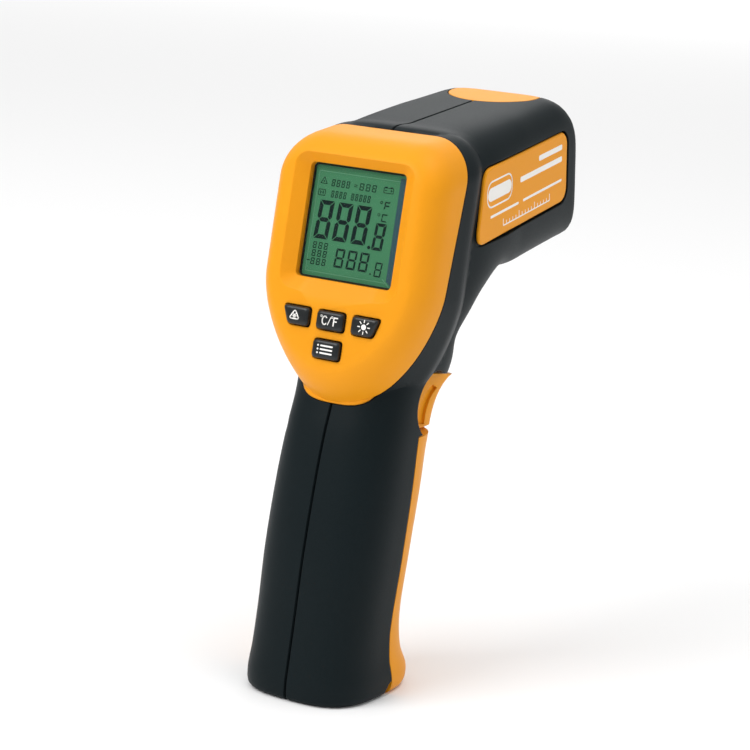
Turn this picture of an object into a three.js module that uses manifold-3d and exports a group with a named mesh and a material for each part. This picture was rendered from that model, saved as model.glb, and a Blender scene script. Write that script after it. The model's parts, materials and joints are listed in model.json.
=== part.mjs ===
// Pistol-grip infrared thermometer: two housing halves, a display cap with four rubber keys,
// a trigger that works a switch, a hinged battery door, and the optics and boards inside.
//
// Millimetres. The object's frame has +Z up and its origin at the centre of the flat foot;
// +Y points at the nose and +X is the user's right. Almost every piece is drawn in the handle frame:
// y runs forward, square to the display, z runs up along the grip, and the origin is the centre
// of the display window. Pieces of the barrel are drawn in the barrel frame, which shares that
// origin and is tipped up from the handle frame by BARREL_ANGLE.

import * as THREE from "three";
import { mergeVertices } from "three/addons/utils/BufferGeometryUtils.js";
import Module from "manifold-3d";

const wasm = await Module();
wasm.setup();

// ---- driving dimensions ----

const GRIP_LEAN = THREE.MathUtils.degToRad(9);
const BARREL_ANGLE = THREE.MathUtils.degToRad(16.5);
const DISPLAY_HEIGHT = 123; // display centre above the foot
const DISPLAY_SET_BACK = 2.3; // display centre behind the foot's centre

const WALL = 2.2;
const GAP = 0.3;
const SEAM = 0.15; // half the parting gap between the housing halves

const BARREL = { top: 21, under: -20.5, length: 89, crown: 14, chin: 5, edge: 4.5 };
const BARREL_HALF_WIDTH = 22; // at BARREL_MIDDLE; the barrel narrows towards the nose
const BARREL_MIDDLE = 58;
const BARREL_TAPER = 0.07;

const FACE = -3; // outer face of the display cap
const HEAD_HALF_WIDTH = 25;
const HEAD_CORNER = 11.5;
const WINDOW = { width: 28, height: 29, corner: 1.6 };
const RECESS = { halfWidth: 17.6, top: 17.6, bottom: -17.2 };

const KEY = { width: 8, height: 4.8, corner: 1.1, lean: 1.8, proud: 1.3, pitch: 10.4, row: -24.8 };
const MODE_ROW = -32.2;

const DOOR_EDGE = 21.3; // how far forward the door's side edge runs
const DOOR_TOP = -52.1; // at its side edge; the top rises from there to the front
const DOOR_TOP_RISE = 0.15;
const TRIGGER_CLEARANCE = 0.55; // between the trigger's lower end and the door's top
const TRIGGER_HALF_WIDTH = 13.4;
const TRIGGER_PIVOT = [30.5, -31.2];
const DOOR_PIVOT = [24.6, -118.9];
const DOOR_SWEEP = 1.65; // radius of the door's hinge roll

const BATTERY = { width: 26.5, depth: 17.5, height: 48.5, middle: 17.6, bottom: -110.5 };
const BOARD = { front: 6, thickness: 1.6 };
const LENS_HEIGHT = -5.5; // in the barrel frame, as is the laser's
const LASER_HEIGHT = 7.2;

// Depths of the display's layers, from the window back to the light.
const DISPLAY = { windowFront: -0.5, windowBack: 1, panelFront: 1.5, panelBack: 4.8, lightBack: 5.7 };
const SCREW = { boss: 3.1, pilot: 1.1, clearance: 1.6, counterbore: 2.9, head: 2.6, shank: 0.9 };
const CHEEK = { inner: 5.8, outer: 8.2 }; // the cheeks that hold the trigger's pin
const EAR = { inner: 9.3, outer: 12.3 }; // the ears that hold the door's pin

const OUTER_POINTS = 28; // round each section of the body
const INNER_POINTS = 18;

// ---- colours ----

const material = (color, roughness, metalness = 0) =>
  new THREE.MeshStandardMaterial({ color, roughness, metalness });
const HOUSING = material(0x2b3538, 0.55);
const YELLOW = material(0xf5a828, 0.45);
const RUBBER = material(0x15181a, 0.7);
const BLACK = material(0x101214, 0.5);
const GREEN = material(0x4c8c68, 0.3);
const BOARD_GREEN = material(0x1e5a36, 0.5);
const STEEL = material(0xb8bcc0, 0.3, 1);
const BRASS = material(0xc8a050, 0.3, 1);
const CAN = material(0x23262b, 0.4);
const WHITE = material(0xe8e8e0, 0.5);
const RED = material(0xb02020, 0.5);
const GLASS = material(0x2a2a30, 0.1);

// ---- solids ----

const X_AXIS = new THREE.Vector3(1, 0, 0);

// A closed geometry as a solid that joins and cuts, with its faces turned out.
function solid(geometry) {
  const plain = geometry.index ? geometry.toNonIndexed() : geometry.clone();
  plain.deleteAttribute("normal");
  plain.deleteAttribute("uv");
  const merged = mergeVertices(plain, 1e-4);
  const corners = new Uint32Array(merged.index.array);
  const vertices = merged.attributes.position.array;
  const make = (triVerts) =>
    new wasm.Manifold(new wasm.Mesh({ numProp: 3, vertProperties: vertices, triVerts }));
  const made = make(corners);
  return made.volume() < 0 ? make(corners.toReversed()) : made;
}

function geometryOf(shape) {
  const { vertProperties, triVerts } = shape.getMesh();
  const geometry = new THREE.BufferGeometry();
  geometry.setAttribute("position", new THREE.BufferAttribute(new Float32Array(vertProperties), 3));
  geometry.setIndex(new THREE.BufferAttribute(new Uint32Array(triVerts), 1));
  geometry.computeVertexNormals();
  return geometry;
}

const join = (...shapes) => shapes.reduce((all, shape) => all.add(shape));
const cut = (shape, ...tools) => tools.reduce((left, tool) => left.subtract(tool), shape);

// A block between two corners.
function block([x0, y0, z0], [x1, y1, z1]) {
  const geometry = new THREE.BoxGeometry(x1 - x0, y1 - y0, z1 - z0);
  return solid(geometry.translate((x0 + x1) / 2, (y0 + y1) / 2, (z0 + z1) / 2));
}

// A round bar from one point to another along X, Y or Z.
function bar(radius, from, to, sides = 20, endRadius = radius) {
  const start = new THREE.Vector3(...from);
  const end = new THREE.Vector3(...to);
  const length = start.distanceTo(end);
  const geometry = new THREE.CylinderGeometry(endRadius, radius, length, sides);
  const turn = new THREE.Quaternion().setFromUnitVectors(
    new THREE.Vector3(0, 1, 0),
    end.clone().sub(start).normalize(),
  );
  const middle = start.add(end).multiplyScalar(0.5);
  return solid(geometry.applyQuaternion(turn).translate(middle.x, middle.y, middle.z));
}

// An outline given as a Shape, or as a list of its corners.
function asShape(outline) {
  return outline instanceof THREE.Shape
    ? outline
    : new THREE.Shape(outline.map((point) => new THREE.Vector2(...point)));
}

// A side outline of (y, z) points, or a Shape, extruded across X from one side to the other.
function acrossX(outline, x0, x1) {
  const geometry = new THREE.ExtrudeGeometry(asShape(outline), {
    depth: x1 - x0,
    curveSegments: 5,
    bevelEnabled: false,
  });
  const basis = new THREE.Matrix4().makeBasis(
    new THREE.Vector3(0, 1, 0),
    new THREE.Vector3(0, 0, 1),
    X_AXIS,
  );
  return solid(geometry.applyMatrix4(basis).translate(x0, 0, 0));
}

// A front outline of (x, z) points, or a Shape, extruded along Y between two depths.
function alongY(outline, y0, y1, curveSegments = 6) {
  const depth = y1 - y0;
  const geometry = new THREE.ExtrudeGeometry(asShape(outline), { depth, bevelEnabled: false, curveSegments });
  const basis = new THREE.Matrix4().makeBasis(
    X_AXIS,
    new THREE.Vector3(0, 0, 1),
    new THREE.Vector3(0, -1, 0),
  );
  return solid(geometry.applyMatrix4(basis).translate(0, y1, 0));
}

// A rectangle with round corners, about a centre.
function roundedRect(width, height, radius, [x, z] = [0, 0]) {
  const [w, h] = [width / 2, height / 2];
  const shape = new THREE.Shape();
  shape.moveTo(x - w + radius, z - h);
  shape.lineTo(x + w - radius, z - h);
  shape.absarc(x + w - radius, z - h + radius, radius, -Math.PI / 2, 0);
  shape.lineTo(x + w, z + h - radius);
  shape.absarc(x + w - radius, z + h - radius, radius, 0, Math.PI / 2);
  shape.lineTo(x - w + radius, z + h);
  shape.absarc(x - w + radius, z + h - radius, radius, Math.PI / 2, Math.PI);
  shape.lineTo(x - w, z - h + radius);
  shape.absarc(x - w + radius, z - h + radius, radius, Math.PI, 1.5 * Math.PI);
  return shape;
}

// Skins a row of closed rings of equal length, with a flat fan over each end.
function loft(rings) {
  const count = rings[0].length;
  const middle = (ring) => ring.reduce((sum, p) => sum.add(p), new THREE.Vector3()).divideScalar(count);
  const points = [...rings.flat(), middle(rings[0]), middle(rings.at(-1))];
  const faces = [];
  for (let row = 0; row < rings.length - 1; row++) {
    for (let k = 0; k < count; k++) {
      const a = row * count + k;
      const b = row * count + ((k + 1) % count);
      faces.push(a, b, b + count, a, b + count, a + count);
    }
  }
  const lastRow = (rings.length - 1) * count;
  for (let k = 0; k < count; k++) {
    const next = (k + 1) % count;
    faces.push(rings.length * count, next, k);
    faces.push(rings.length * count + 1, lastRow + k, lastRow + next);
  }
  const geometry = new THREE.BufferGeometry().setFromPoints(points);
  return solid(geometry.setIndex(faces));
}

// ---- frames ----

const barrelToHandle = new THREE.Matrix4().makeRotationX(BARREL_ANGLE);
const fromBarrel = (y, z) => new THREE.Vector3(0, y, z).applyMatrix4(barrelToHandle);

// A solid of the barrel frame, in the handle frame.
function inHandle(shape) {
  return solid(geometryOf(shape).applyMatrix4(barrelToHandle));
}

// Where the foot's plane lies, in the handle frame, at a distance y forward.
const footHeight = (y) => (y * Math.sin(GRIP_LEAN) - DISPLAY_HEIGHT) / Math.cos(GRIP_LEAN);

// ---- the body's outer form ----

const barrelHalfWidth = (y) => BARREL_HALF_WIDTH - BARREL_TAPER * (y - BARREL_MIDDLE);

// How far an edge of this radius has drawn in, a distance past the start of its rounding.
const rounding = (radius, past) => radius - Math.sqrt(Math.max(radius ** 2 - Math.max(past, 0) ** 2, 0));

// The section of the barrel square to its axis, a distance y along it.
function barrelSection(y) {
  const { top, under, length, crown, chin, edge } = BARREL;
  return {
    back: fromBarrel(y, top - rounding(crown, y - (length - crown))),
    front: fromBarrel(y, under + rounding(chin, y - (length - chin))),
    width: barrelHalfWidth(y) - rounding(edge, y - (length - edge)),
    squareness: 5.4,
  };
}

const section = (back, front, width, squareness) => ({
  back: new THREE.Vector3(0, ...back),
  front: new THREE.Vector3(0, ...front),
  width,
  squareness,
});

const noseAngles = [90, 76, 60, 42, 22, 0].map(THREE.MathUtils.degToRad);
const noseSections = noseAngles.map((angle) =>
  barrelSection(BARREL.length - BARREL.crown * (1 - Math.sin(angle))),
);

// The sections turn with the body: square to the barrel, fanned round the throat, level in the grip.
const bodySections = [
  ...noseSections,
  barrelSection(62),
  barrelSection(50),
  section([22.8, 28.7], [47.2, -7.2], 23.7, 4.4),
  section([13, 25.7], [39.8, -15], 23.6, 4),
  section([8, 8], [36.4, -21.8], 22.4, 3.6),
  section([6.5, -12], [34.6, -27.3], 20.6, 3.2),
  section([5.5, -28], [39.2, -32.8], 18.4, 3),
  section([3.4, -44], [36.4, -44], 17, 2.8),
  section([1.7, -54], [35, -54], 17.1, 2.8),
  section([0.7, -66], [34.6, -65], 17.5, 2.8),
  section([0.1, -86], [33.8, -84], 17.6, 2.8),
  section([0.5, -102], [34.2, -99], 17.3, 2.8),
  section([0.7, -113], [37, -107.5], 17.5, 2.9),
  section([0.9, -120], [41.2, -113.4], 18.2, 3),
  section([1.7, footHeight(1.7) + 1], [41.2, footHeight(41.2) + 1.2], 17.8, 3),
  section([3.2, footHeight(3.2)], [39, footHeight(39)], 16.4, 3),
];

// The whole body drawn in by an inset, skinned with so many points round each section.
function bodyForm(inset, points, stepsBetween) {
  const backLine = new THREE.CatmullRomCurve3(
    bodySections.map(({ back, width }) => new THREE.Vector3(width, back.y, back.z)),
  );
  const frontLine = new THREE.CatmullRomCurve3(
    bodySections.map(({ front, squareness }) => new THREE.Vector3(squareness, front.y, front.z)),
  );
  const rings = [];
  const steps = (bodySections.length - 1) * stepsBetween;
  for (let step = 0; step <= steps; step++) {
    const back = backLine.getPoint(step / steps);
    const front = frontLine.getPoint(step / steps);
    const half = new THREE.Vector3(0, back.y - front.y, back.z - front.z).multiplyScalar(0.5);
    const middle = new THREE.Vector3(0, front.y, front.z).add(half);
    half.setLength(half.length() - inset);
    rings.push(superellipse(middle, half, back.x - inset, front.x, points));
  }
  return loft(rings);
}

// A ring that is square-shouldered where squareness is high and an ellipse where it is 2.
function superellipse(middle, half, width, squareness, points) {
  return Array.from({ length: points }, (_, k) => {
    const angle = (2 * Math.PI * k) / points;
    const [across, along] = [Math.cos(angle), Math.sin(angle)];
    const sum = Math.abs(across) ** squareness + Math.abs(along) ** squareness;
    const reach = sum ** (-1 / squareness);
    return middle
      .clone()
      .addScaledVector(half, along * reach)
      .setX(across * reach * width);
  });
}

// The head's outline seen square to the display, a distance y forward, drawn in by an inset.
function headRing(y, inset) {
  const top = BARREL.top / Math.cos(BARREL_ANGLE) + y * Math.tan(BARREL_ANGLE);
  const bottom = -42 - 0.6 * (y - FACE);
  const shape = new THREE.Shape();
  shape.moveTo(0, top);
  shape.lineTo(HEAD_HALF_WIDTH - HEAD_CORNER, top);
  shape.absarc(HEAD_HALF_WIDTH - HEAD_CORNER, top - HEAD_CORNER, HEAD_CORNER, Math.PI / 2, 0, true);
  shape.lineTo(HEAD_HALF_WIDTH, -14);
  shape.bezierCurveTo(HEAD_HALF_WIDTH, -26, 13, bottom, 0, bottom);
  const right = shape.getPoints(5);
  const count = right.length;
  const inward = right.map((point, k) => {
    const before = right[Math.max(k - 1, 0)];
    const after = right[Math.min(k + 1, count - 1)];
    const along = after.clone().sub(before).normalize();
    const atEnd = k === 0 || k === count - 1;
    const normal = atEnd ? new THREE.Vector2(0, k === 0 ? -1 : 1) : new THREE.Vector2(along.y, -along.x);
    return point.clone().addScaledVector(normal, inset);
  });
  const left = inward.slice(1, -1).reverse();
  return [
    ...inward.map((p) => new THREE.Vector3(p.x, y, p.y)),
    ...left.map((p) => new THREE.Vector3(-p.x, y, p.y)),
  ];
}

// The block behind the display, with its face edge eased over, swelling a little past the barrel.
function headForm(inset) {
  const stations = [
    [FACE, 5],
    [FACE + 0.4, 3.9],
    [FACE + 1.5, 2.5],
    [FACE + 3.5, 1.1],
    [FACE + 6, 0.3],
    [FACE + 9, 0],
    [16, 0],
    [19, 0.5],
    [27, 4],
  ];
  return loft(stations.map(([y, drawnIn]) => headRing(Math.max(y, FACE + inset), drawnIn + inset)));
}

// The side line where the yellow cap meets the housing, as a solid of everything behind it.
function behindCapLine(offset) {
  const line = new THREE.CatmullRomCurve3(
    [
      [14.2, 32],
      [12.6, 24],
      [10.7, 4],
      [8.6, -20],
      [7.5, -34],
      [5.9, -41.5],
      [3, -46],
      [-3, -49.5],
    ].map(([y, z]) => new THREE.Vector3(0, y + offset, z)),
  );
  const edge = line.getPoints(14).map(({ y, z }) => [y, z]);
  return acrossX([...edge, [-30, -49.5], [-30, 32]], -40, 40);
}

const doorTop = (y) => DOOR_TOP + DOOR_TOP_RISE * (y - DOOR_EDGE);
const triggerBottom = (y) => doorTop(y) + TRIGGER_CLEARANCE;

// Everything forward of the battery door's edge and below its top.
function aheadOfDoorEdge(offset) {
  return acrossX(
    [
      [DOOR_EDGE + offset, DOOR_TOP - offset],
      [DOOR_EDGE + offset, -104],
      [DOOR_EDGE + 1.4 + offset, -112],
      [DOOR_PIVOT[0] + offset, DOOR_PIVOT[1] + 1.9],
      [DOOR_PIVOT[0] + offset, -126],
      [60, -126],
      [60, doorTop(60) - offset],
    ],
    -40,
    40,
  );
}

// The mouth the trigger works in: a half ellipse in the side walls, open to the front.
function triggerMouth() {
  const shape = new THREE.Shape();
  shape.moveTo(60, -35);
  shape.lineTo(29, -35);
  shape.bezierCurveTo(23, -32, 18.2, -37, 18.2, -43);
  shape.bezierCurveTo(18.2, -47, 20.5, -50.5, 24, doorTop(24));
  shape.lineTo(60, doorTop(60));
  return acrossX(shape, -40, 40);
}

// ---- features shared by several pieces ----

const labelOutline = (grow) => {
  const [left, right, top, bottom] = [24.6 - grow, 79.7 + grow, 11.8 + grow, -7.8 - grow];
  const lean = 1.9; // the rear edge leans with the display
  const radius = 4 + grow;
  const shape = new THREE.Shape();
  shape.moveTo(left - lean + radius, bottom);
  shape.lineTo(right - radius, bottom);
  shape.absarc(right - radius, bottom + radius, radius, -Math.PI / 2, 0);
  shape.lineTo(right, top - radius);
  shape.absarc(right - radius, top - radius, radius, 0, Math.PI / 2);
  shape.lineTo(left + lean + radius, top);
  shape.quadraticCurveTo(left + lean, top, left + 0.7 * lean, top - radius);
  shape.lineTo(left - 0.7 * lean, bottom + radius);
  shape.quadraticCurveTo(left - lean, bottom, left - lean + radius, bottom);
  return shape;
};

// A plate on the side of the barrel, between two depths under its surface, on side +1 or -1.
function sidePlate(side, grow, deep, proud) {
  const plate = acrossX(labelOutline(grow), BARREL_HALF_WIDTH - deep, BARREL_HALF_WIDTH + proud);
  const lean = new THREE.Matrix4().makeShear(0, 0, -BARREL_TAPER, 0, 0, 0);
  const geometry = geometryOf(plate).translate(0, -BARREL_MIDDLE, 0).applyMatrix4(lean);
  return inHandle(solid(geometry.translate(0, BARREL_MIDDLE, 0).scale(side, 1, 1)));
}

const crownDisc = (grow) => {
  const shape = new THREE.Shape();
  shape.absellipse(0, 74.5, 13 + grow, 11.6 + grow, 0, 2 * Math.PI);
  const geometry = new THREE.ExtrudeGeometry(shape, { depth: 30, bevelEnabled: false, curveSegments: 12 });
  return inHandle(solid(geometry));
};

const screwPlaces = [
  fromBarrel(70, 15),
  fromBarrel(42, -13.2),
  new THREE.Vector3(0, 16.8, 14),
  new THREE.Vector3(0, 9.2, -54.5),
  new THREE.Vector3(0, 11, -116),
];

const keys = [
  { name: "laser", x: -KEY.pitch, z: KEY.row, cutSide: -1 },
  { name: "unit", x: 0, z: KEY.row, cutSide: 0 },
  { name: "backlight", x: KEY.pitch, z: KEY.row, cutSide: 1 },
  { name: "mode", x: 0, z: MODE_ROW, cutSide: 0 },
];

// A key's outline: a soft rectangle. The outer side of the two side keys leans in to its foot.
function keyOutline({ x, z, cutSide }, grow) {
  const [w, h] = [KEY.width / 2 + grow, KEY.height / 2 + grow];
  const { corner } = KEY;
  const turn = corner / (2 * h); // the corner's share of the height
  const sideX = (side, up) => x + side * (w - (side === cutSide ? KEY.lean * (1 - up) : 0));
  const shape = new THREE.Shape();
  shape.moveTo(sideX(-1, 0) + corner, z - h);
  shape.lineTo(sideX(1, 0) - corner, z - h);
  shape.quadraticCurveTo(sideX(1, 0), z - h, sideX(1, turn), z - h + corner);
  shape.lineTo(sideX(1, 1 - turn), z + h - corner);
  shape.quadraticCurveTo(sideX(1, 1), z + h, sideX(1, 1) - corner, z + h);
  shape.lineTo(sideX(-1, 1) + corner, z + h);
  shape.quadraticCurveTo(sideX(-1, 1), z + h, sideX(-1, 1 - turn), z + h - corner);
  shape.lineTo(sideX(-1, turn), z - h + corner);
  shape.quadraticCurveTo(sideX(-1, 0), z - h, sideX(-1, 0) + corner, z - h);
  return shape;
}

// ---- the tree of pieces ----

const thermometer = new THREE.Group();
const handle = new THREE.Group();
handle.position.set(0, -DISPLAY_SET_BACK, DISPLAY_HEIGHT);
handle.rotation.x = -GRIP_LEAN;
const barrel = new THREE.Group();
barrel.rotation.x = BARREL_ANGLE;
handle.add(barrel);
thermometer.add(handle);

function place(parent, name, shape, look) {
  const mesh = new THREE.Mesh(geometryOf(shape), look);
  mesh.name = name;
  parent.add(mesh);
}

// ---- housing ----

const outerForm = bodyForm(0, OUTER_POINTS, 1);
const innerForm = bodyForm(WALL, INNER_POINTS, 1);
const wholeForm = join(outerForm, headForm(0));

// A block on one side of the parting plane, from x0 to x1 out from it.
function sideBlock(side, [x0, y0, z0], [x1, y1, z1]) {
  return side > 0 ? block([x0, y0, z0], [x1, y1, z1]) : block([-x1, y0, z0], [-x0, y1, z1]);
}

// Everything below a floor of this thickness laid in the foot.
function underFloor(thickness) {
  return acrossX(
    [
      [-40, footHeight(-40) + thickness],
      [80, footHeight(80) + thickness],
      [80, -190],
      [-40, -190],
    ],
    -40,
    40,
  );
}

// The hollow inside, kept back from the nose's front wall and from the foot.
function hollow() {
  const behindNose = inHandle(block([-30, -90, -170], [30, BARREL.length - 4.4, 60]));
  return cut(join(innerForm.intersect(behindNose), headForm(WALL)), underFloor(2.4));
}

const screwBoss = ({ y, z }, side) =>
  bar(SCREW.boss, [side * SEAM, y, z], [side * 25, y, z], 8).intersect(wholeForm);
const pilotHole = ({ y, z }) => bar(SCREW.pilot, [-1, y, z], [12, y, z], 6);
const screwHole = ({ y, z }) =>
  join(
    bar(SCREW.clearance, [-30, y, z], [1, y, z], 8),
    bar(SCREW.counterbore, [-30, y, z], [-9, y, z], 12),
  );

// The cheek that holds one end of the trigger's pin, with a rib out to the side wall.
function pinCheek(side) {
  const [y, z] = TRIGGER_PIVOT;
  const cheek = sideBlock(side, [CHEEK.inner, y - 3.4, z - 3.4], [CHEEK.outer, y + 3, z + 3.4]);
  const rib = sideBlock(side, [7, y - 1.5, z - 2], [20, y + 1.5, z + 2]).intersect(wholeForm);
  return cut(join(cheek, rib), bar(1.4, [-9, y, z], [9, y, z], 12));
}

// Half of the cradle round the optics tube and the laser.
function opticsCradle(side) {
  const plate = sideBlock(side, [SEAM, 71, -30], [30, 73, 10.6]);
  const tube = bar(8.9, [0, 60, LENS_HEIGHT], [0, 80, LENS_HEIGHT], 16);
  const laser = bar(3.2, [0, 60, LASER_HEIGHT], [0, 80, LASER_HEIGHT], 12);
  return inHandle(cut(plate, tube, laser)).intersect(wholeForm);
}

// Ribs that the trigger's switch and spring bear on.
const switchRib = (side) => sideBlock(side, [SEAM, 2, -47], [3, 8.1, -43]).intersect(wholeForm);
const springRib = (side) => sideBlock(side, [SEAM, 18, -27], [24, 27, -25]).intersect(wholeForm);

// The room the battery needs, with its clearance.
function batteryRoom() {
  const { width, depth, height, middle, bottom } = BATTERY;
  const [x, y] = [width / 2 + GAP, depth / 2 + GAP];
  return block([-x, middle - y, bottom - GAP / 2], [x, middle + y, bottom + height]);
}

// The shelf under the battery and the rib behind it.
function batteryRibs(side) {
  const back = BATTERY.middle - BATTERY.depth / 2;
  const shelf = sideBlock(side, [SEAM, 0, BATTERY.bottom - 1.8], [18, 20, BATTERY.bottom - GAP]);
  const rib = sideBlock(side, [9, 0, BATTERY.bottom], [10.5, back - GAP, -66]);
  return join(shelf, rib).intersect(wholeForm);
}

// The ear that holds one end of the door's hinge pin, standing forward off the floor.
function doorEar(side) {
  const [y, z] = DOOR_PIVOT;
  const roll = bar(DOOR_SWEEP, [side * EAR.inner, y, z], [side * EAR.outer, y, z], 12);
  const root = sideBlock(side, [EAR.inner, y - 4, z - 1.4], [EAR.outer, y, z + 1.3]);
  return cut(join(roll, root), bar(0.95, [-11.5, y, z], [11.5, y, z], 12));
}

const noseOutline = (grow) => roundedRect(19 + 2 * grow, 25 + 2 * grow, 7 + grow, [0, -2.2]);
const noseOpening = () =>
  inHandle(alongY(noseOutline(GAP), BARREL.length - 12, BARREL.length + 5));

function housingHalf(side) {
  const [y, z] = DOOR_PIVOT;
  const half = sideBlock(side, [SEAM, -60, -160], [60, 120, 60]);
  const shell = cut(wholeForm, hollow());
  const ribs = [pinCheek, opticsCradle, switchRib, springRib, batteryRibs].map((rib) => rib(side));
  const openings = [
    behindCapLine(GAP),
    aheadOfDoorEdge(-GAP),
    triggerMouth(),
    block([-5.6, 26, -36], [5.6, 37, -30.5]),
    bar(DOOR_SWEEP + GAP, [-20, y, z], [20, y, z], 12),
    block([-20, y - 2.3, z - 8], [20, y, z]),
    batteryRoom(),
    sidePlate(side, 0.45, 1.3, 3),
    crownDisc(GAP).subtract(bodyForm(1.5, OUTER_POINTS, 1)),
    noseOpening(),
  ];
  const drilled = screwPlaces.map((at) => (side > 0 ? pilotHole(at) : screwHole(at)));
  const bosses = screwPlaces.map((at) => screwBoss(at, side));
  const body = cut(join(shell, ...bosses, ...ribs).intersect(half), ...openings, ...drilled);
  return join(body, doorEar(side));
}

function housingScrew({ y, z }) {
  const slots = [
    block([-12, y - 0.3, z - 1.5], [-11.2, y + 0.3, z + 1.5]),
    block([-12, y - 1.5, z - 0.3], [-11.2, y + 1.5, z + 0.3]),
  ];
  const head = bar(SCREW.head, [-11.5, y, z], [-9.3, y, z], 10);
  return cut(join(head, bar(SCREW.shank, [-10, y, z], [9, y, z], 6)), ...slots);
}

const topCap = () => crownDisc(0).intersect(outerForm).subtract(bodyForm(1.2, OUTER_POINTS, 1));

place(handle, "housing_right", housingHalf(1), HOUSING);
place(handle, "housing_left", housingHalf(-1), HOUSING);
place(handle, "top_cap", topCap(), YELLOW);
place(handle, "side_label_right", sidePlate(1, 0, 1, -0.15), YELLOW);
place(handle, "side_label_left", sidePlate(-1, 0, 1, -0.15), YELLOW);
screwPlaces.forEach((at, k) => place(handle, `housing_screw_${k + 1}`, housingScrew(at), STEEL));

// ---- display cap, window and keys ----

// The sloping frame from the cap's face down to the window.
function windowFrame() {
  const { halfWidth, top, bottom } = RECESS;
  const ring = (y, width, height, corner, z) =>
    roundedRect(width, height, corner, [0, z])
      .getPoints(4)
      .slice(0, -1)
      .map((p) => new THREE.Vector3(p.x, y, p.y));
  const mouth = ring(FACE - 0.2, 2 * halfWidth, top - bottom, 3.4, (top + bottom) / 2);
  return loft([mouth, ring(-0.6, WINDOW.width + 0.6, WINDOW.height + 0.6, WINDOW.corner, 0)]);
}

const boardPosts = [-9, 9].map((x) => [x, 19]);

function displayBezel() {
  const skin = cut(wholeForm.intersect(behindCapLine(0)), headForm(WALL), innerForm);
  const pad = block([-17, -1.4, -17.4], [17, 1.2, 17.4]);
  const post = ([x, z]) => bar(1.7, [x, -1.4, z], [x, BOARD.front - GAP, z], 8).intersect(wholeForm);
  const glassRoom = roundedRect(WINDOW.width + 0.6, WINDOW.height + 0.6, WINDOW.corner);
  const pilots = boardPosts.map(([x, z]) => bar(0.9, [x, 1, z], [x, 6, z], 8));
  const keyHoles = keys.map((key) => alongY(keyOutline(key, 0.25), FACE - 1, 1));
  const body = join(skin, pad, ...boardPosts.map(post));
  return cut(body, windowFrame(), alongY(glassRoom, -1, 2), ...pilots, ...keyHoles);
}

function rubberKey(key) {
  const flange = alongY(keyOutline(key, 0.45), FACE + WALL + GAP, 0.2);
  return join(alongY(keyOutline(key, 0), FACE - KEY.proud, 0), flange);
}

// A sheet behind all four keys: a wide band for the row of three and a tongue for the lone key.
const membraneOutline = [
  [-15, -21.2],
  [-15, -28.8],
  [-6, -29.6],
  [-6, -35.6],
  [6, -35.6],
  [6, -29.6],
  [15, -28.8],
  [15, -21.2],
];

const boardOutline = [
  [-11.5, 20.8],
  [-18.5, 16],
  [-18.5, -17],
  [-11, -35.5],
  [11, -35.5],
  [18.5, -17],
  [18.5, 16],
  [11.5, 20.8],
];

function mainBoard() {
  const holes = boardPosts.map(([x, z]) => bar(1.2, [x, 0, z], [x, 10, z], 8));
  return cut(alongY(boardOutline, BOARD.front, BOARD.front + BOARD.thickness), ...holes);
}

const boardBack = BOARD.front + BOARD.thickness;

function boardScrew([x, z]) {
  const head = bar(1.6, [x, boardBack + GAP, z], [x, boardBack + 1.4, z], 12);
  return join(head, bar(0.6, [x, 2, z], [x, boardBack + 1, z], 8));
}

place(handle, "display_bezel", displayBezel(), YELLOW);
const windowOutline = roundedRect(WINDOW.width, WINDOW.height, WINDOW.corner - GAP);
place(handle, "display_window", alongY(windowOutline, DISPLAY.windowFront, DISPLAY.windowBack), GLASS);
const panel = block([-16.5, DISPLAY.panelFront, -17], [16.5, DISPLAY.panelBack, 16.8]);
place(handle, "lcd_module", panel, GREEN);
const light = block([-16, DISPLAY.panelBack + GAP, -16.5], [16, DISPLAY.lightBack, 16.3]);
place(handle, "backlight_panel", light, WHITE);
place(handle, "main_board", mainBoard(), BOARD_GREEN);
place(handle, "processor_chip", block([-9, boardBack + GAP, -5], [-1, boardBack + 1.6, 3]), BLACK);
place(handle, "buzzer", bar(5, [10, boardBack + GAP, 8], [10, boardBack + 3.8, 8], 20), BLACK);
boardPosts.forEach((at, k) => place(handle, `board_screw_${k + 1}`, boardScrew(at), STEEL));
place(handle, "keypad_membrane", alongY(membraneOutline, 1.3, 2.1), RUBBER);
for (const key of keys) {
  place(handle, `key_${key.name}`, rubberKey(key), RUBBER);
  const { name, x, z } = key;
  const body = block([x - 2.4, 2.4, z - 2.4], [x + 2.4, BOARD.front - GAP, z + 2.4]);
  place(handle, `key_switch_${name}`, body, BLACK);
}

// ---- trigger ----

// The trigger's side outline at a distance x from the middle: the front edge rounds off sideways.
function triggerRing(x) {
  const corner = 5;
  const eased = rounding(corner, Math.abs(x) - (TRIGGER_HALF_WIDTH - corner));
  const front = new THREE.CubicBezierCurve3(
    new THREE.Vector3(x, 44.4, -35.6),
    new THREE.Vector3(x, 39.6, -38),
    new THREE.Vector3(x, 36.2, -42),
    new THREE.Vector3(x, 36, triggerBottom(36)),
  );
  const rear = new THREE.CubicBezierCurve3(
    new THREE.Vector3(x, 24.5, triggerBottom(24.5)),
    new THREE.Vector3(x, 18.6, -49),
    new THREE.Vector3(x, 18, -40),
    new THREE.Vector3(x, 21, -37),
  );
  const frontPoints = front.getPoints(6).map((p) => p.setY(p.y - eased));
  const top = [new THREE.Vector3(x, 26, -36.6), new THREE.Vector3(x, 28, -35.6)];
  return [...frontPoints, ...rear.getPoints(5), ...top];
}

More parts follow.
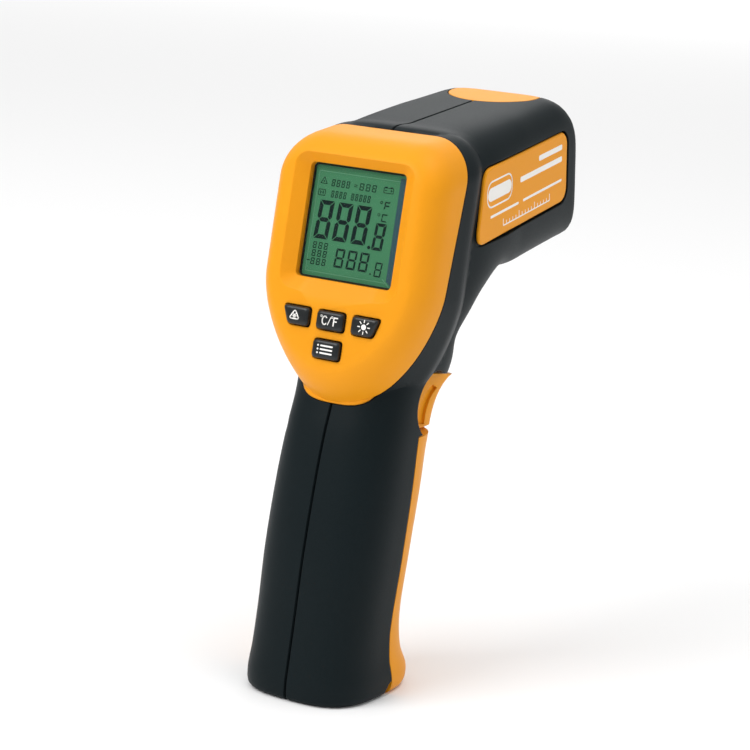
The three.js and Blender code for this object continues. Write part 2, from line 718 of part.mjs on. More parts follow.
function trigger() {
  const [y, z] = TRIGGER_PIVOT;
  const stations = [1, 0.94, 0.84, 0.72, 0.6];
  const half = stations.map((share) => share * TRIGGER_HALF_WIDTH);
  const body = loft([...half.map((x) => -x), ...half.toReversed()].map(triggerRing));
  const lug = join(block([-5, y - 3, z - 7], [5, y + 3, z]), bar(3, [-5, y, z], [5, y, z], 20));
  const nub = block([-2, 18.3, -48], [2, 21, -43.4]);
  const bore = bar(1.45, [-6, y, z], [6, y, z], 16);
  const panels = [-1, 1].map((side) => triggerPanel(side));
  return cut(join(body, lug, nub), bore, ...panels);
}

// The shallow panel sunk into each side of the trigger.
function triggerPanel(side) {
  const shape = new THREE.Shape();
  shape.moveTo(31, -38.6);
  shape.bezierCurveTo(26, -40.4, 24.6, -45, 25.2, -49.2);
  shape.lineTo(29.4, -49.2);
  shape.bezierCurveTo(28.8, -45.4, 30, -41.6, 33.4, -39.4);
  const depth = TRIGGER_HALF_WIDTH - 0.8;
  return acrossX(shape, ...(side > 0 ? [depth, 20] : [-20, -depth]));
}

const SPRING = { y: 22, bottom: -36.2, top: -27.6, radius: 1.9, wire: 0.35, turns: 6 };

class Helix extends THREE.Curve {
  getPoint(t) {
    const angle = 2 * Math.PI * SPRING.turns * t;
    const z = THREE.MathUtils.lerp(SPRING.bottom, SPRING.top, t);
    const [x, y] = [SPRING.radius * Math.cos(angle), SPRING.radius * Math.sin(angle)];
    return new THREE.Vector3(x, SPRING.y + y, z);
  }
}

// A round wire of this radius along a curve.
function wire(radius, curve, steps, sides) {
  const circle = new THREE.Shape();
  circle.absarc(0, 0, radius, 0, 2 * Math.PI);
  const outline = new THREE.Shape(circle.getSpacedPoints(sides).slice(0, -1));
  return solid(new THREE.ExtrudeGeometry(outline, { steps, extrudePath: curve, bevelEnabled: false }));
}

function triggerSwitch() {
  const body = block([-3.2, 8.4, -49.6], [3.2, 14.2, -40.4]);
  return cut(body, bar(1.35, [0, 11.2, -45], [0, 15, -45], 12));
}

place(handle, "trigger", trigger(), YELLOW);
place(handle, "trigger_pin", bar(1.1, [-8.1, ...TRIGGER_PIVOT], [8.1, ...TRIGGER_PIVOT], 12), STEEL);
place(handle, "trigger_spring", wire(SPRING.wire, new Helix(), 54, 4), STEEL);
place(handle, "trigger_switch", triggerSwitch(), BLACK);
place(handle, "switch_plunger", bar(1, [0, 13, -45], [0, 18, -45], 12), WHITE);

// ---- battery and its door ----

function batteryDoor() {
  const [y, z] = DOOR_PIVOT;
  const within = cut(innerForm, underFloor(2.4));
  const skin = outerForm.intersect(aheadOfDoorEdge(0)).subtract(within);
  const behind = block([-40, 0, -130], [40, y, z + 1.8]);
  const rounded = bar(DOOR_SWEEP, [-15.4, y, z], [15.4, y, z], 16);
  const roll = rounded.intersect(cut(outerForm, underFloor(0.1)));
  const earRoom = [-1, 1].map((side) => {
    const [inner, outer] = [EAR.inner - GAP, EAR.outer + GAP];
    const clear = bar(DOOR_SWEEP + GAP, [side * inner, y, z], [side * outer, y, z], 20);
    const above = sideBlock(side, [inner, y - 4, z - 3], [outer, y, z + 2]);
    return join(clear, above, sideBlock(side, [inner, y - 1, z - 3], [outer, y + 1.7, z]));
  });
  const pinHole = bar(0.95, [-13, y, z], [13, y, z], 12);
  return cut(join(cut(skin, behind), roll), batteryRoom(), ...earRoom, pinHole);
}

const batteryTop = BATTERY.bottom + BATTERY.height - 2.1;
const terminals = [
  [-6.35, 2.9],
  [6.35, 3.6],
];

// A terminal of the battery, grown by a clearance.
function stud([x, radius], grow) {
  const y = BATTERY.middle;
  return bar(radius + grow, [x, y, batteryTop - 1], [x, y, batteryTop + 2.1 + grow], 16);
}

function battery() {
  const { width, depth, middle, bottom } = BATTERY;
  const [x, y] = [width / 2, depth / 2];
  const can = block([-x, middle - y, bottom], [x, middle + y, batteryTop]);
  return join(can, ...terminals.map((terminal) => stud(terminal, 0)));
}

function batterySnap() {
  const { middle } = BATTERY;
  const pad = block([-12.2, middle - 6, batteryTop + GAP], [12.2, middle + 6, batteryTop + 4.6]);
  return cut(pad, ...terminals.map((terminal) => stud(terminal, GAP)));
}

function batteryLead(side) {
  const top = batteryTop + 5.1;
  const route = [
    [5, 16, top],
    [6, 15.6, top + 4],
    [9, 13.4, -50],
    [9.4, 10.6, -43],
    [8, 9.4, -37],
    [6, 9.2, -32],
  ];
  const points = route.map(([x, y, z]) => new THREE.Vector3(side * x, y, z));
  return wire(0.65, new THREE.CatmullRomCurve3(points), 22, 6);
}

place(handle, "battery_door", batteryDoor(), YELLOW);
place(handle, "door_hinge_pin", bar(0.7, [-11, ...DOOR_PIVOT], [11, ...DOOR_PIVOT], 10), STEEL);
place(handle, "battery", battery(), CAN);
place(handle, "battery_snap", batterySnap(), BLACK);
place(handle, "battery_lead_positive", batteryLead(1), RED);
place(handle, "battery_lead_negative", batteryLead(-1), BLACK);

// ---- optics, in the barrel frame ----

function ring(outer, inner, y0, y1, z) {
  const hole = bar(inner, [0, y0 - 1, z], [0, y1 + 1, z], 16);
  return cut(bar(outer, [0, y0, z], [0, y1, z], 16), hole);
}

function nosePlate() {
  const plate = alongY(noseOutline(0), 84.9, 87.6);
  const sight = bar(6.3, [0, 84, LENS_HEIGHT], [0, 88, LENS_HEIGHT], 24, 7.6);
  return cut(plate, sight, bar(1.8, [0, 84, LASER_HEIGHT], [0, 88, LASER_HEIGHT], 16));
}

function opticsTube() {
  const tube = ring(8.6, 7.1, 60, 84.5, LENS_HEIGHT);
  return join(tube, ring(8, 5, 60, 61.6, LENS_HEIGHT), ring(8, 6, 78.6, 80.2, LENS_HEIGHT));
}

// A lens domed towards the nose.
function infraredLens() {
  const dome = new THREE.EllipseCurve(0, 81.9, 6.7, 1.4, Math.PI / 2, 0, true).getPoints(6);
  const profile = [new THREE.Vector2(0, 80.5), ...dome.reverse(), new THREE.Vector2(0, 80.5)];
  profile.splice(1, 0, new THREE.Vector2(6.7, 80.5));
  return solid(new THREE.LatheGeometry(profile, 18).translate(0, 0, LENS_HEIGHT));
}

place(barrel, "nose_plate", nosePlate(), BLACK);
place(barrel, "optics_tube", opticsTube(), BLACK);
place(barrel, "infrared_lens", infraredLens(), GLASS);
place(barrel, "lens_ring", ring(6.75, 5.9, 83.5, 84.4, LENS_HEIGHT), STEEL);
place(barrel, "infrared_sensor", bar(4.6, [0, 58.9, LENS_HEIGHT], [0, 64, LENS_HEIGHT], 20), STEEL);
place(barrel, "sensor_board", block([-9, 57, -15], [9, 58.6, 4]), BOARD_GREEN);
place(barrel, "laser_module", bar(2.8, [0, 66, LASER_HEIGHT], [0, 82, LASER_HEIGHT], 16), BRASS);
place(barrel, "laser_window", bar(1.5, [0, 85.2, LASER_HEIGHT], [0, 86, LASER_HEIGHT], 16), GLASS);

export default thermometer;
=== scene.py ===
"""Infrared thermometer: the visible surfaces, in fine mesh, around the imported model.

Shapes are drawn in millimetres in the handle frame: x to the user's right, y forward and square to
the display, z up along the grip, with the origin at the centre of the display window. Finished
meshes are turned into the model's own frame, in metres, where the foot's centre is the origin.
"""

import json
import math

import bmesh
import bpy
import numpy as np
from mathutils import Matrix, Vector


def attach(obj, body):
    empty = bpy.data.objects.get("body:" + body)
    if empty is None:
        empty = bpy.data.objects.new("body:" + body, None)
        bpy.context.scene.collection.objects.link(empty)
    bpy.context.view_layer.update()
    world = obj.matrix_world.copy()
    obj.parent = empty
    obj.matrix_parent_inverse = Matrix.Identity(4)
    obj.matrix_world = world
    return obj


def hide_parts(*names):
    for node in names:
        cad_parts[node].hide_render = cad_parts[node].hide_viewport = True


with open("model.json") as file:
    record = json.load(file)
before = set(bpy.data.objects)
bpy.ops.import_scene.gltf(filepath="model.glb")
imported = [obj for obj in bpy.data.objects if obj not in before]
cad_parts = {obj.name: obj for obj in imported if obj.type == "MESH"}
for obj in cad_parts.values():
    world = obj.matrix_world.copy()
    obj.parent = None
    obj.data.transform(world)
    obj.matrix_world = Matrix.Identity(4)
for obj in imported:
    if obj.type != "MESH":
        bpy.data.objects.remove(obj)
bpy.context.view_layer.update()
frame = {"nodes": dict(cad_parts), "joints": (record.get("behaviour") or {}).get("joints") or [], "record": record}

# ---- driving dimensions, in millimetres ----

GRIP_LEAN = math.radians(9)
BARREL_ANGLE = math.radians(16.5)
DISPLAY_HEIGHT = 123
DISPLAY_SET_BACK = 2.3

WALL = 2.2
GAP = 0.3
SEAM = 0.16  # half the parting gap between the housing halves

BARREL_TOP, BARREL_UNDER, BARREL_LENGTH = 21, -20.5, 89
BARREL_CROWN, BARREL_CHIN, BARREL_EDGE = 14, 5, 4.5
BARREL_HALF_WIDTH, BARREL_MIDDLE, BARREL_TAPER = 22, 58, 0.07
BARREL_SQUARENESS = 5.4
NOSE_WALL, FOOT_WALL = 4.4, 2.4

FACE = -3
HEAD_HALF_WIDTH, HEAD_CORNER = 25, 11.5
HEAD_BOTTOM, HEAD_BOTTOM_LEAN = -42, 0.6
WINDOW_WIDTH, WINDOW_HEIGHT, WINDOW_CORNER = 28, 29, 1.3
RECESS_HALF_WIDTH, RECESS_TOP, RECESS_BOTTOM, RECESS_FLOOR = 17.6, 17.6, -17.4, -0.6
RECESS_CORNER, RECESS_SAG = 3.4, 1.9

KEY_WIDTH, KEY_HEIGHT, KEY_CORNER, KEY_LEAN, KEY_PROUD = 8, 4.8, 1.1, 1.8, 1.3
KEY_PITCH, KEY_ROW = 10.4, -24.8
MODE_ROW = -32.2

LABEL_LEFT, LABEL_RIGHT, LABEL_TOP, LABEL_BOTTOM = 24.6, 79.7, 11.8, -7.8
LABEL_CORNER, LABEL_LEAN = 4, 1.9
LABEL_LOW = 0.15  # how far the label lies below the housing's side
CROWN_MIDDLE, CROWN_HALF_WIDTH, CROWN_HALF_LENGTH = 74.5, 13, 11.6
CROWN_THICKNESS = 1.2

DOOR_EDGE, DOOR_TOP, DOOR_TOP_RISE = 21.3, -52.1, 0.15
DOOR_SWEEP, DOOR_PIN_BORE = 1.65, 0.95
EAR_START, EAR_END = 9.3, 12.3
TRIGGER_CLEARANCE, TRIGGER_HALF_WIDTH, TRIGGER_CORNER = 0.55, 13.4, 5
TRIGGER_PIN_BORE, CHEEK_PIN_BORE = 1.45, 1.4

LENS_HEIGHT, LASER_HEIGHT = -5.5, 7.2
LENS_RADIUS, LENS_BULGE, LENS_BACK, LENS_RIM = 6.7, 1.4, 80.5, 81.9
TUBE_ROOM, LASER_ROOM = 8.9, 3.2
SCREW_BOSS, THREAD_BORE, SHANK_BORE, HEAD_BORE = 3.1, 1.1, 1.6, 2.9
TERMINAL_HEIGHT = 2.1
CAN_CORNER, CAN_ROLL = 2.4, 0.7

SUNK, PROUD = -0.02, 0.03  # how far the back and front of printed marks stand off a surface
REACH = 40  # how far cutting shapes run to either side, well past the body

# ---- frames ----

TO_MODEL = (
    Matrix.Translation((0, -DISPLAY_SET_BACK / 1000, DISPLAY_HEIGHT / 1000))
    @ Matrix.Rotation(-GRIP_LEAN, 4, "X")
    @ Matrix.Scale(0.001, 4)
)
TO_HANDLE = TO_MODEL.inverted()
FROM_BARREL = Matrix.Rotation(BARREL_ANGLE, 4, "X")


def from_barrel(y, z, x=0):
    """A point of the barrel frame, in the handle frame."""
    return FROM_BARREL @ Vector((x, y, z))


def foot_height(y):
    """The height of the floor under a place, as the handle frame leans with the grip."""
    return (y * math.sin(GRIP_LEAN) - DISPLAY_HEIGHT) / math.cos(GRIP_LEAN)


def joint_place(name):
    """Where a joint's axis crosses the middle plane, as (y, z) in the handle frame."""
    joint = next(j for j in frame["joints"] if j["name"] == name)
    place = TO_HANDLE @ Vector(joint["pos_m"])
    return place.y, place.z


TRIGGER_PIVOT = joint_place("trigger_pull")
DOOR_PIVOT = joint_place("door_swing")


def node_box(node):
    """A CAD node's lowest and highest corners in the handle frame."""
    points = [TO_HANDLE @ v.co for v in frame["nodes"][node].data.vertices]
    low = Vector(min(p[k] for p in points) for k in range(3))
    high = Vector(max(p[k] for p in points) for k in range(3))
    return low, high


# ---- meshes ----


def new_object(name, points, faces):
    """A mesh object made from points and faces, in the scene."""
    mesh = bpy.data.meshes.new(name)
    mesh.from_pydata([tuple(p) for p in points], [], faces)
    shape = bpy.data.objects.new(name, mesh)
    bpy.context.scene.collection.objects.link(shape)
    return shape


def loft(rings):
    """A closed skin over a row of rings of equal length, with a flat face at each end."""
    count = len(rings[0])
    points = [p for ring in rings for p in ring]
    faces = [tuple(reversed(range(count)))]
    for row in range(len(rings) - 1):
        for k in range(count):
            a = row * count + k
            b = row * count + (k + 1) % count
            faces.append((a, b, b + count, a + count))
    last = (len(rings) - 1) * count
    faces.append(tuple(range(last, last + count)))
    shape = new_object("tool", points, faces)
    face_out(shape.data)
    return shape


def face_out(mesh):
    """Turns every face of a closed mesh to look out."""
    work = bmesh.new()
    work.from_mesh(mesh)
    bmesh.ops.recalc_face_normals(work, faces=work.faces)
    work.to_mesh(mesh)
    work.free()


def block(low, high):
    """A box between its lowest and highest corners."""
    (x0, y0, z0), (x1, y1, z1) = low, high
    return along_y([(x0, z0), (x1, z0), (x1, z1), (x0, z1)], y0, y1)


def side_block(side, low, high):
    """A block on one side of the parting plane, from low x to high x out from it."""
    if side > 0:
        return block(low, high)
    return block((-high[0], *low[1:]), (-low[0], *high[1:]))


def bar(radius, start, end, sides=32, end_radius=None):
    """A round bar between two points."""
    start, end = Vector(start), Vector(end)
    turn = Vector((0, 0, 1)).rotation_difference(end - start)
    angles = [2 * math.pi * k / sides for k in range(sides)]
    rings = []
    for centre, r in ((start, radius), (end, end_radius or radius)):
        circle = [Vector((r * math.cos(a), r * math.sin(a), 0)) for a in angles]
        rings.append([centre + turn @ p for p in circle])
    return loft(rings)


def across_x(outline, x0=-REACH, x1=REACH):
    """A side outline of (y, z) points, drawn out along x."""
    return loft([[(x, y, z) for y, z in outline] for x in (x0, x1)])


def shaped_along_y(outline_at, profile):
    """A front outline that changes along y: outline_at(size) at each (y, size) of the profile."""
    return loft([[(x, y, z) for x, z in outline_at(size)] for y, size in profile])


def along_y(outline, y0, y1):
    """A front outline of (x, z) points, drawn out along y."""
    return shaped_along_y(lambda size: outline, [(y0, 0), (y1, 0)])


def baked(shape):
    """Applies the modifiers of a shape."""
    graph = bpy.context.evaluated_depsgraph_get()
    mesh = bpy.data.meshes.new_from_object(shape.evaluated_get(graph))
    shape.modifiers.clear()
    shape.data = mesh
    return shape


def combine(operation, shape, tools):
    """Cuts, joins or trims a shape with each tool in turn, and takes the tools away."""
    for tool in tools:
        step = shape.modifiers.new(operation, "BOOLEAN")
        step.operation = operation
        step.solver = "MANIFOLD"
        step.object = tool
    baked(shape)
    for tool in tools:
        bpy.data.objects.remove(tool)
    return shape


def cut(shape, *tools):
    return combine("DIFFERENCE", shape, tools)


def join(shape, *tools):
    return combine("UNION", shape, tools)


def common(shape, *tools):
    return combine("INTERSECT", shape, tools)


def in_handle(shape):
    """Turns a shape from the barrel frame into the handle frame."""
    shape.data.transform(FROM_BARREL)
    return shape


def finished(shape, name, body, slot, *nodes, look=None, sharp=32):
    """Puts a shape in the model's frame, on its body, in place of CAD nodes.

    It takes the look of its slot unless it is given one of its own.
    """
    shape.name = name
    shape.data.name = name
    shape.data.transform(TO_MODEL)
    for face in shape.data.polygons:
        face.use_smooth = True
    shape.data.set_sharp_from_angle(angle=math.radians(sharp))
    shape.data.materials.clear()
    shape.data.materials.append(look or LOOKS[slot])
    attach(shape, body)
    if nodes:
        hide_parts(*nodes)
    return shape


# ---- curves ----


def smooth_line(points, steps):
    """Points along a centripetal Catmull-Rom curve; steps gives how many to each stretch."""
    points = [np.array(p, float) for p in points]
    padded = [2 * points[0] - points[1], *points, 2 * points[-1] - points[-2]]
    line = []
    for k in range(len(points) - 1):
        p0, p1, p2, p3 = padded[k : k + 4]
        stretches = ((p0, p1), (p1, p2), (p2, p3))
        d0, d1, d2 = (max(np.linalg.norm(b - a), 1e-8) ** 0.5 for a, b in stretches)
        leave = d1 * ((p1 - p0) / d0 - (p2 - p0) / (d0 + d1) + (p2 - p1) / d1)
        arrive = d1 * ((p2 - p1) / d1 - (p3 - p1) / (d1 + d2) + (p3 - p2) / d2)
        for step in range(steps[k]):
            t = step / steps[k]
            line.append(
                (2 * t**3 - 3 * t**2 + 1) * p1
                + (t**3 - 2 * t**2 + t) * leave
                + (3 * t**2 - 2 * t**3) * p2
                + (t**3 - t**2) * arrive
            )
    return [*line, points[-1]]


def bezier(points, steps):
    """Points along a Bezier curve of degree two or three, both ends included."""
    degree = len(points) - 1
    line = []
    for step in range(steps + 1):
        t = step / steps
        weights = [math.comb(degree, k) * t**k * (1 - t) ** (degree - k) for k in range(degree + 1)]
        line.append(tuple(sum(w * p[a] for w, p in zip(weights, points)) for a in range(2)))
    return line


def oval_arc(centre, across, up, start, end, steps):
    """Points round an oval between two angles in degrees."""
    angles = np.radians(np.linspace(start, end, steps + 1))
    return [(centre[0] + across * math.cos(a), centre[1] + up * math.sin(a)) for a in angles]


def arc(centre, radius, start, end, steps=10):
    """Points round a circle between two angles in degrees."""
    return oval_arc(centre, radius, radius, start, end, steps)


def rounded_rect(width, height, radius, centre=(0, 0), steps=8):
    """A rectangle's outline with round corners, each drawn in this many steps."""
    x, z = width / 2 - radius, height / 2 - radius
    corners = [(x, -z, -90), (x, z, 0), (-x, z, 90), (-x, -z, 180)]
    outline = []
    for cx, cz, start in corners:
        outline += arc((centre[0] + cx, centre[1] + cz), radius, start, start + 90, steps)
    return outline


def rounding(radius, past):
    """How far an edge of this radius has drawn in, a distance past the start of its rounding."""
    return radius - math.sqrt(max(radius**2 - max(past, 0) ** 2, 0))


# ---- the body's outer form ----


def barrel_section(y):
    """The barrel's section at a distance along it, as body_sections gives them."""
    top = BARREL_TOP - rounding(BARREL_CROWN, y - (BARREL_LENGTH - BARREL_CROWN))
    under = BARREL_UNDER + rounding(BARREL_CHIN, y - (BARREL_LENGTH - BARREL_CHIN))
    width = BARREL_HALF_WIDTH - BARREL_TAPER * (y - BARREL_MIDDLE)
    width -= rounding(BARREL_EDGE, y - (BARREL_LENGTH - BARREL_EDGE))
    back, front = from_barrel(y, top), from_barrel(y, under)
    return (back.y, back.z), (front.y, front.z), width, BARREL_SQUARENESS


NOSE_STEPS = 14
nose_turns = [math.pi / 2 * (1 - k / NOSE_STEPS) for k in range(NOSE_STEPS + 1)]
nose_sections = [
    barrel_section(BARREL_LENGTH - BARREL_CROWN * (1 - math.sin(turn))) for turn in nose_turns
]

# Each section is (back point, front point, half width, squareness); they turn with the body.
body_sections = [
    *nose_sections,
    barrel_section(62),
    barrel_section(50),
    ((22.8, 28.7), (47.2, -7.2), 23.7, 4.4),
    ((13, 25.7), (39.8, -15), 23.6, 4),
    ((8, 8), (36.4, -21.8), 22.4, 3.6),
    ((6.5, -12), (34.6, -27.3), 20.6, 3.2),
    ((5.5, -28), (39.2, -32.8), 18.4, 3),
    ((3.4, -44), (36.4, -44), 17, 2.8),
    ((1.7, -54), (35, -54), 17.1, 2.8),
    ((0.7, -66), (34.6, -65), 17.5, 2.8),
    ((0.1, -86), (33.8, -84), 17.6, 2.8),
    ((0.5, -102), (34.2, -99), 17.3, 2.8),
    ((0.7, -113), (37, -107.5), 17.5, 2.9),
    ((0.9, -120), (41.2, -113.4), 18.2, 3),
    ((1.7, foot_height(1.7) + 1), (41.2, foot_height(41.2) + 1.2), 17.8, 3),
    ((3.2, foot_height(3.2)), (39, foot_height(39)), 16.4, 3),
]


def body_form(inset=0, points=112, fineness=6):
    """The whole body without its head, drawn in by an inset."""
    steps = [1] * NOSE_STEPS + [fineness] * (len(body_sections) - 1 - NOSE_STEPS)
    back_line = smooth_line([(width, *back) for back, _, width, _ in body_sections], steps)
    front_line = smooth_line([(square, *front) for _, front, _, square in body_sections], steps)
    rings = []
    for (width, back_y, back_z), (square, front_y, front_z) in zip(back_line, front_line):
        half = Vector((0, back_y - front_y, back_z - front_z)) / 2
        middle = Vector((0, front_y, front_z)) + half
        half *= (half.length - inset) / half.length
        rings.append(superellipse(middle, half, width - inset, square, points))
    return loft(rings)


def superellipse(middle, half, width, squareness, points):
    """A ring between an oval and a rectangle; half runs from the middle to the back point."""
    ring = []
    for k in range(points):
        angle = 2 * math.pi * k / points
        across, along = math.cos(angle), math.sin(angle)
        reach = (abs(across) ** squareness + abs(along) ** squareness) ** (-1 / squareness)
        point = middle + half * (along * reach)
        ring.append((across * reach * width, point.y, point.z))
    return ring


def head_outline(y, inset, fineness):
    """The head's outline seen square to the display, drawn in by an inset."""
    top = BARREL_TOP / math.cos(BARREL_ANGLE) + y * math.tan(BARREL_ANGLE)
    bottom = HEAD_BOTTOM - HEAD_BOTTOM_LEAN * (y - FACE)
    corner = (HEAD_HALF_WIDTH - HEAD_CORNER, top - HEAD_CORNER)
    side = [(HEAD_HALF_WIDTH, -14), (HEAD_HALF_WIDTH, -26), (13, bottom), (0, bottom)]
    right = [(0, top), *arc(corner, HEAD_CORNER, 90, 0, fineness), *bezier(side, 3 * fineness)]
    inward = []
    for k, (x, z) in enumerate(right):
        before, after = right[max(k - 1, 0)], right[min(k + 1, len(right) - 1)]
        along = Vector((after[0] - before[0], after[1] - before[1])).normalized()
        normal = Vector((along.y, -along.x))
        if k in (0, len(right) - 1):
            normal = Vector((0, -1 if k == 0 else 1))
        inward.append((x + normal.x * inset, z + normal.y * inset))
    left = [(-x, z) for x, z in reversed(inward[1:-1])]
    return inward + left


# How far the head's outline is drawn in, at each distance forward.
HEAD_STATIONS = [
    (FACE, 5),
    (FACE + 0.4, 3.9),
    (FACE + 1.5, 2.5),
    (FACE + 3.5, 1.1),
    (FACE + 6, 0.3),
    (FACE + 9, 0),
    (16, 0),
    (19, 0.5),
    (27, 4),
]


def head_form(inset=0, fineness=14):
    """The block behind the display, with its face edge eased over."""
    steps = [5] * (len(HEAD_STATIONS) - 1)
    rings = []
    for y, drawn in smooth_line(HEAD_STATIONS, steps):
        depth = max(y, FACE + inset)
        outline = head_outline(depth, max(drawn, 0) + inset, fineness)
        rings.append([(x, depth, z) for x, z in outline])
    return loft(rings)


def coarse_form(inset):
    """The body drawn in by an inset, with fewer points, for the parts that stay out of sight."""
    return body_form(inset, 48, 2)


def whole_form():
    return join(body_form(), head_form())


def inner_head():
    """The room inside the head, one wall in from its outside."""
    stations = [(FACE + WALL, 2.5), *HEAD_STATIONS[3:]]
    rings = [[(x, y, z) for x, z in head_outline(y, drawn + WALL, 6)] for y, drawn in stations]
    return loft(rings)


def behind_cap_line(offset):
    """Everything behind the side line where the cap meets the housing."""
    side = [(14.2, 32), (12.6, 24), (10.7, 4), (8.6, -20), (7.5, -34)]
    foot = [(5.9, -41.5), (3, -46), (-3, -49.5)]
    line = [(y + offset, z) for y, z in side + foot]
    edge = smooth_line(line, [6] * (len(line) - 1))
    return across_x([*edge, (-30, foot[-1][1]), (-30, side[0][1])])


def door_top(y):
    """The height of the door's sloping top edge."""
    return DOOR_TOP + DOOR_TOP_RISE * (y - DOOR_EDGE)


def trigger_bottom(y):
    """The height of the trigger's lower end, just clear of the door."""
    return door_top(y) + TRIGGER_CLEARANCE


def ahead_of_door_edge(offset):
    """Everything ahead of the side line where the door meets the housing."""
    y, z = DOOR_PIVOT
    outline = [
        (DOOR_EDGE + offset, DOOR_TOP - offset),
        (DOOR_EDGE + offset, -104),
        (DOOR_EDGE + 1.4 + offset, -112),
        (y + offset, z + 1.9),
        (y + offset, -126),
        (60, -126),
        (60, door_top(60) - offset),
    ]
    return across_x(outline)


def trigger_mouth():
    """The opening in the throat that the trigger comes out of."""
    upper = bezier([(29, -35), (23, -32), (18.2, -37), (18.2, -43)], 14)
    lower = bezier([(18.2, -43), (18.2, -47), (20.5, -50.5), (24, door_top(24))], 12)
    outline = [(60, -35), *upper, *lower[1:], (60, door_top(60))]
    return across_x(outline)


def under_floor(thickness):
    """Everything lower than this thickness of foot."""
    line = [(y, foot_height(y) + thickness) for y in (-40, 80)]
    return across_x([*line, (80, -190), (-40, -190)])


# ---- let-in plates ----


def label_outline(grow):
    """The side label in the barrel frame, as (y, z); its rear edge leans with the display."""
    left, right = LABEL_LEFT - grow, LABEL_RIGHT + grow
    top, bottom = LABEL_TOP + grow, LABEL_BOTTOM - grow
    radius, lean = LABEL_CORNER + grow, LABEL_LEAN
    head, foot = left + lean, left - lean
    upper = [(head + radius, top), (head, top), (left + 0.7 * lean, top - radius)]
    lower = [(left - 0.7 * lean, bottom + radius), (foot, bottom), (foot + radius, bottom)]
    return [
        *arc((right - radius, bottom + radius), radius, -90, 0),
        *arc((right - radius, top - radius), radius, 0, 90),
        *bezier(upper, 8),
        *bezier(lower, 8),
    ]


def label_depth(y, out):
    """How far from the middle a point of the label lies, this far out from the barrel's side."""
    return BARREL_HALF_WIDTH + out - BARREL_TAPER * (y - BARREL_MIDDLE)


def side_plate(side, grow, deep, proud, bevel=0.35):
    """A label plate on one side, or the pocket for it; deep and proud count from the barrel's side."""
    rings = []
    for inset, out in ((0, -deep), (0, proud - bevel), (bevel, proud)):
        outline = label_outline(grow - inset)
        rings.append([(side * label_depth(y, out), y, z) for y, z in outline])
    return in_handle(loft(rings))


def crown_disc(grow):
    """An upright oval bar at the crown of the nose, which cuts out the top cap."""
    across, along = CROWN_HALF_WIDTH + grow, CROWN_HALF_LENGTH + grow
    oval = oval_arc((0, CROWN_MIDDLE), across, along, 0, 356.25, 95)
    return in_handle(loft([[(x, y, z) for x, y in oval] for z in (0, 30)]))


def nose_outline(grow):
    """The nose plate's outline, as (x, z) in the barrel frame."""
    return rounded_rect(19 + 2 * grow, 25 + 2 * grow, 7 + grow, (0, -2.2))


# ---- housing ----

SCREW_PLACES = [
    from_barrel(70, 15),
    from_barrel(42, -13.2),
    Vector((0, 16.8, 14)),
    Vector((0, 9.2, -54.5)),
    Vector((0, 11, -116)),
]


def hollow():
    """The room inside, kept back from the nose's front wall and from the foot."""
    behind_nose = in_handle(block((-30, -90, -170), (30, BARREL_LENGTH - NOSE_WALL, 60)))
    room = join(common(coarse_form(WALL), behind_nose), inner_head())
    return cut(room, under_floor(FOOT_WALL))


def within_skin(shape):
    """Trims a rib or boss so that it ends inside the wall."""
    return common(shape, coarse_form(WALL / 2))


def screw_boss(place, side):
    start, end = (side * SEAM, place.y, place.z), (side * HEAD_HALF_WIDTH, place.y, place.z)
    return within_skin(bar(SCREW_BOSS, start, end, 24))


def seam_groove():
    """The fine rebate that breaks the edge of both halves along the parting line."""
    slab = block((-SEAM - 0.2, -60, -160), (SEAM + 0.2, 120, 60))
    return cut(slab, body_form(0.35), head_form(0.35))


def screw_bore(place, side):
    """A thread bore in the right half; a through bore with room for the head in the left."""

    def hole(radius, x0, x1, sides):
        return bar(radius, (x0, place.y, place.z), (x1, place.y, place.z), sides)

    if side > 0:
        return hole(THREAD_BORE, -1, 12, 16)
    return join(hole(SHANK_BORE, -30, 1, 24), hole(HEAD_BORE, -30, -9, 32))


def pin_cheek(side):
    """The plate that holds one end of the trigger's pin, on a rib from the wall."""
    y, z = TRIGGER_PIVOT
    cheek = side_block(side, (5.8, y - 3.4, z - 3.4), (8.2, y + 3, z + 3.4))
    rib = side_block(side, (7, y - 1.5, z - 2), (20, y + 1.5, z + 2))
    return cut(join(cheek, within_skin(rib)), bar(CHEEK_PIN_BORE, (-9, y, z), (9, y, z)))


def optics_cradle(side):
    """The wall across the barrel that holds the optics tube and the laser."""
    plate = side_block(side, (SEAM, 71, -30), (30, 73, 10.6))
    tube = bar(TUBE_ROOM, (0, 60, LENS_HEIGHT), (0, 80, LENS_HEIGHT), 64)
    laser = bar(LASER_ROOM, (0, 60, LASER_HEIGHT), (0, 80, LASER_HEIGHT))
    return within_skin(in_handle(cut(plate, tube, laser)))


def switch_and_spring_ribs(side):
    switch_rib = side_block(side, (SEAM, 2, -47), (3, 8.1, -43))
    spring_rib = side_block(side, (SEAM, 18, -27), (24, 27, -25))
    return within_skin(join(switch_rib, spring_rib))


def battery_ribs(side):
    """The shelf under the battery, and the rib behind it."""
    low, _ = node_box("battery")
    shelf = side_block(side, (SEAM, 0, low.z - 1.8), (18, 20, low.z - GAP))
    rib = side_block(side, (9, 0, low.z - 0.5), (10.5, low.y - GAP, -66))
    return within_skin(join(shelf, rib))


def battery_room():
    low, high = node_box("battery")
    room_low = (low.x - GAP, low.y - GAP, low.z - GAP / 2)
    return block(room_low, (high.x + GAP, high.y + GAP, high.z))


def door_ear(side):
    """The housing's knuckle that holds one end of the door's pin."""
    y, z = DOOR_PIVOT
    roll = bar(DOOR_SWEEP, (side * EAR_START, y, z), (side * EAR_END, y, z))
    root = side_block(side, (EAR_START, y - 4, z - 1.4), (EAR_END, y, z + 1.3))
    return cut(join(roll, root), bar(DOOR_PIN_BORE, (-11.5, y, z), (11.5, y, z)))


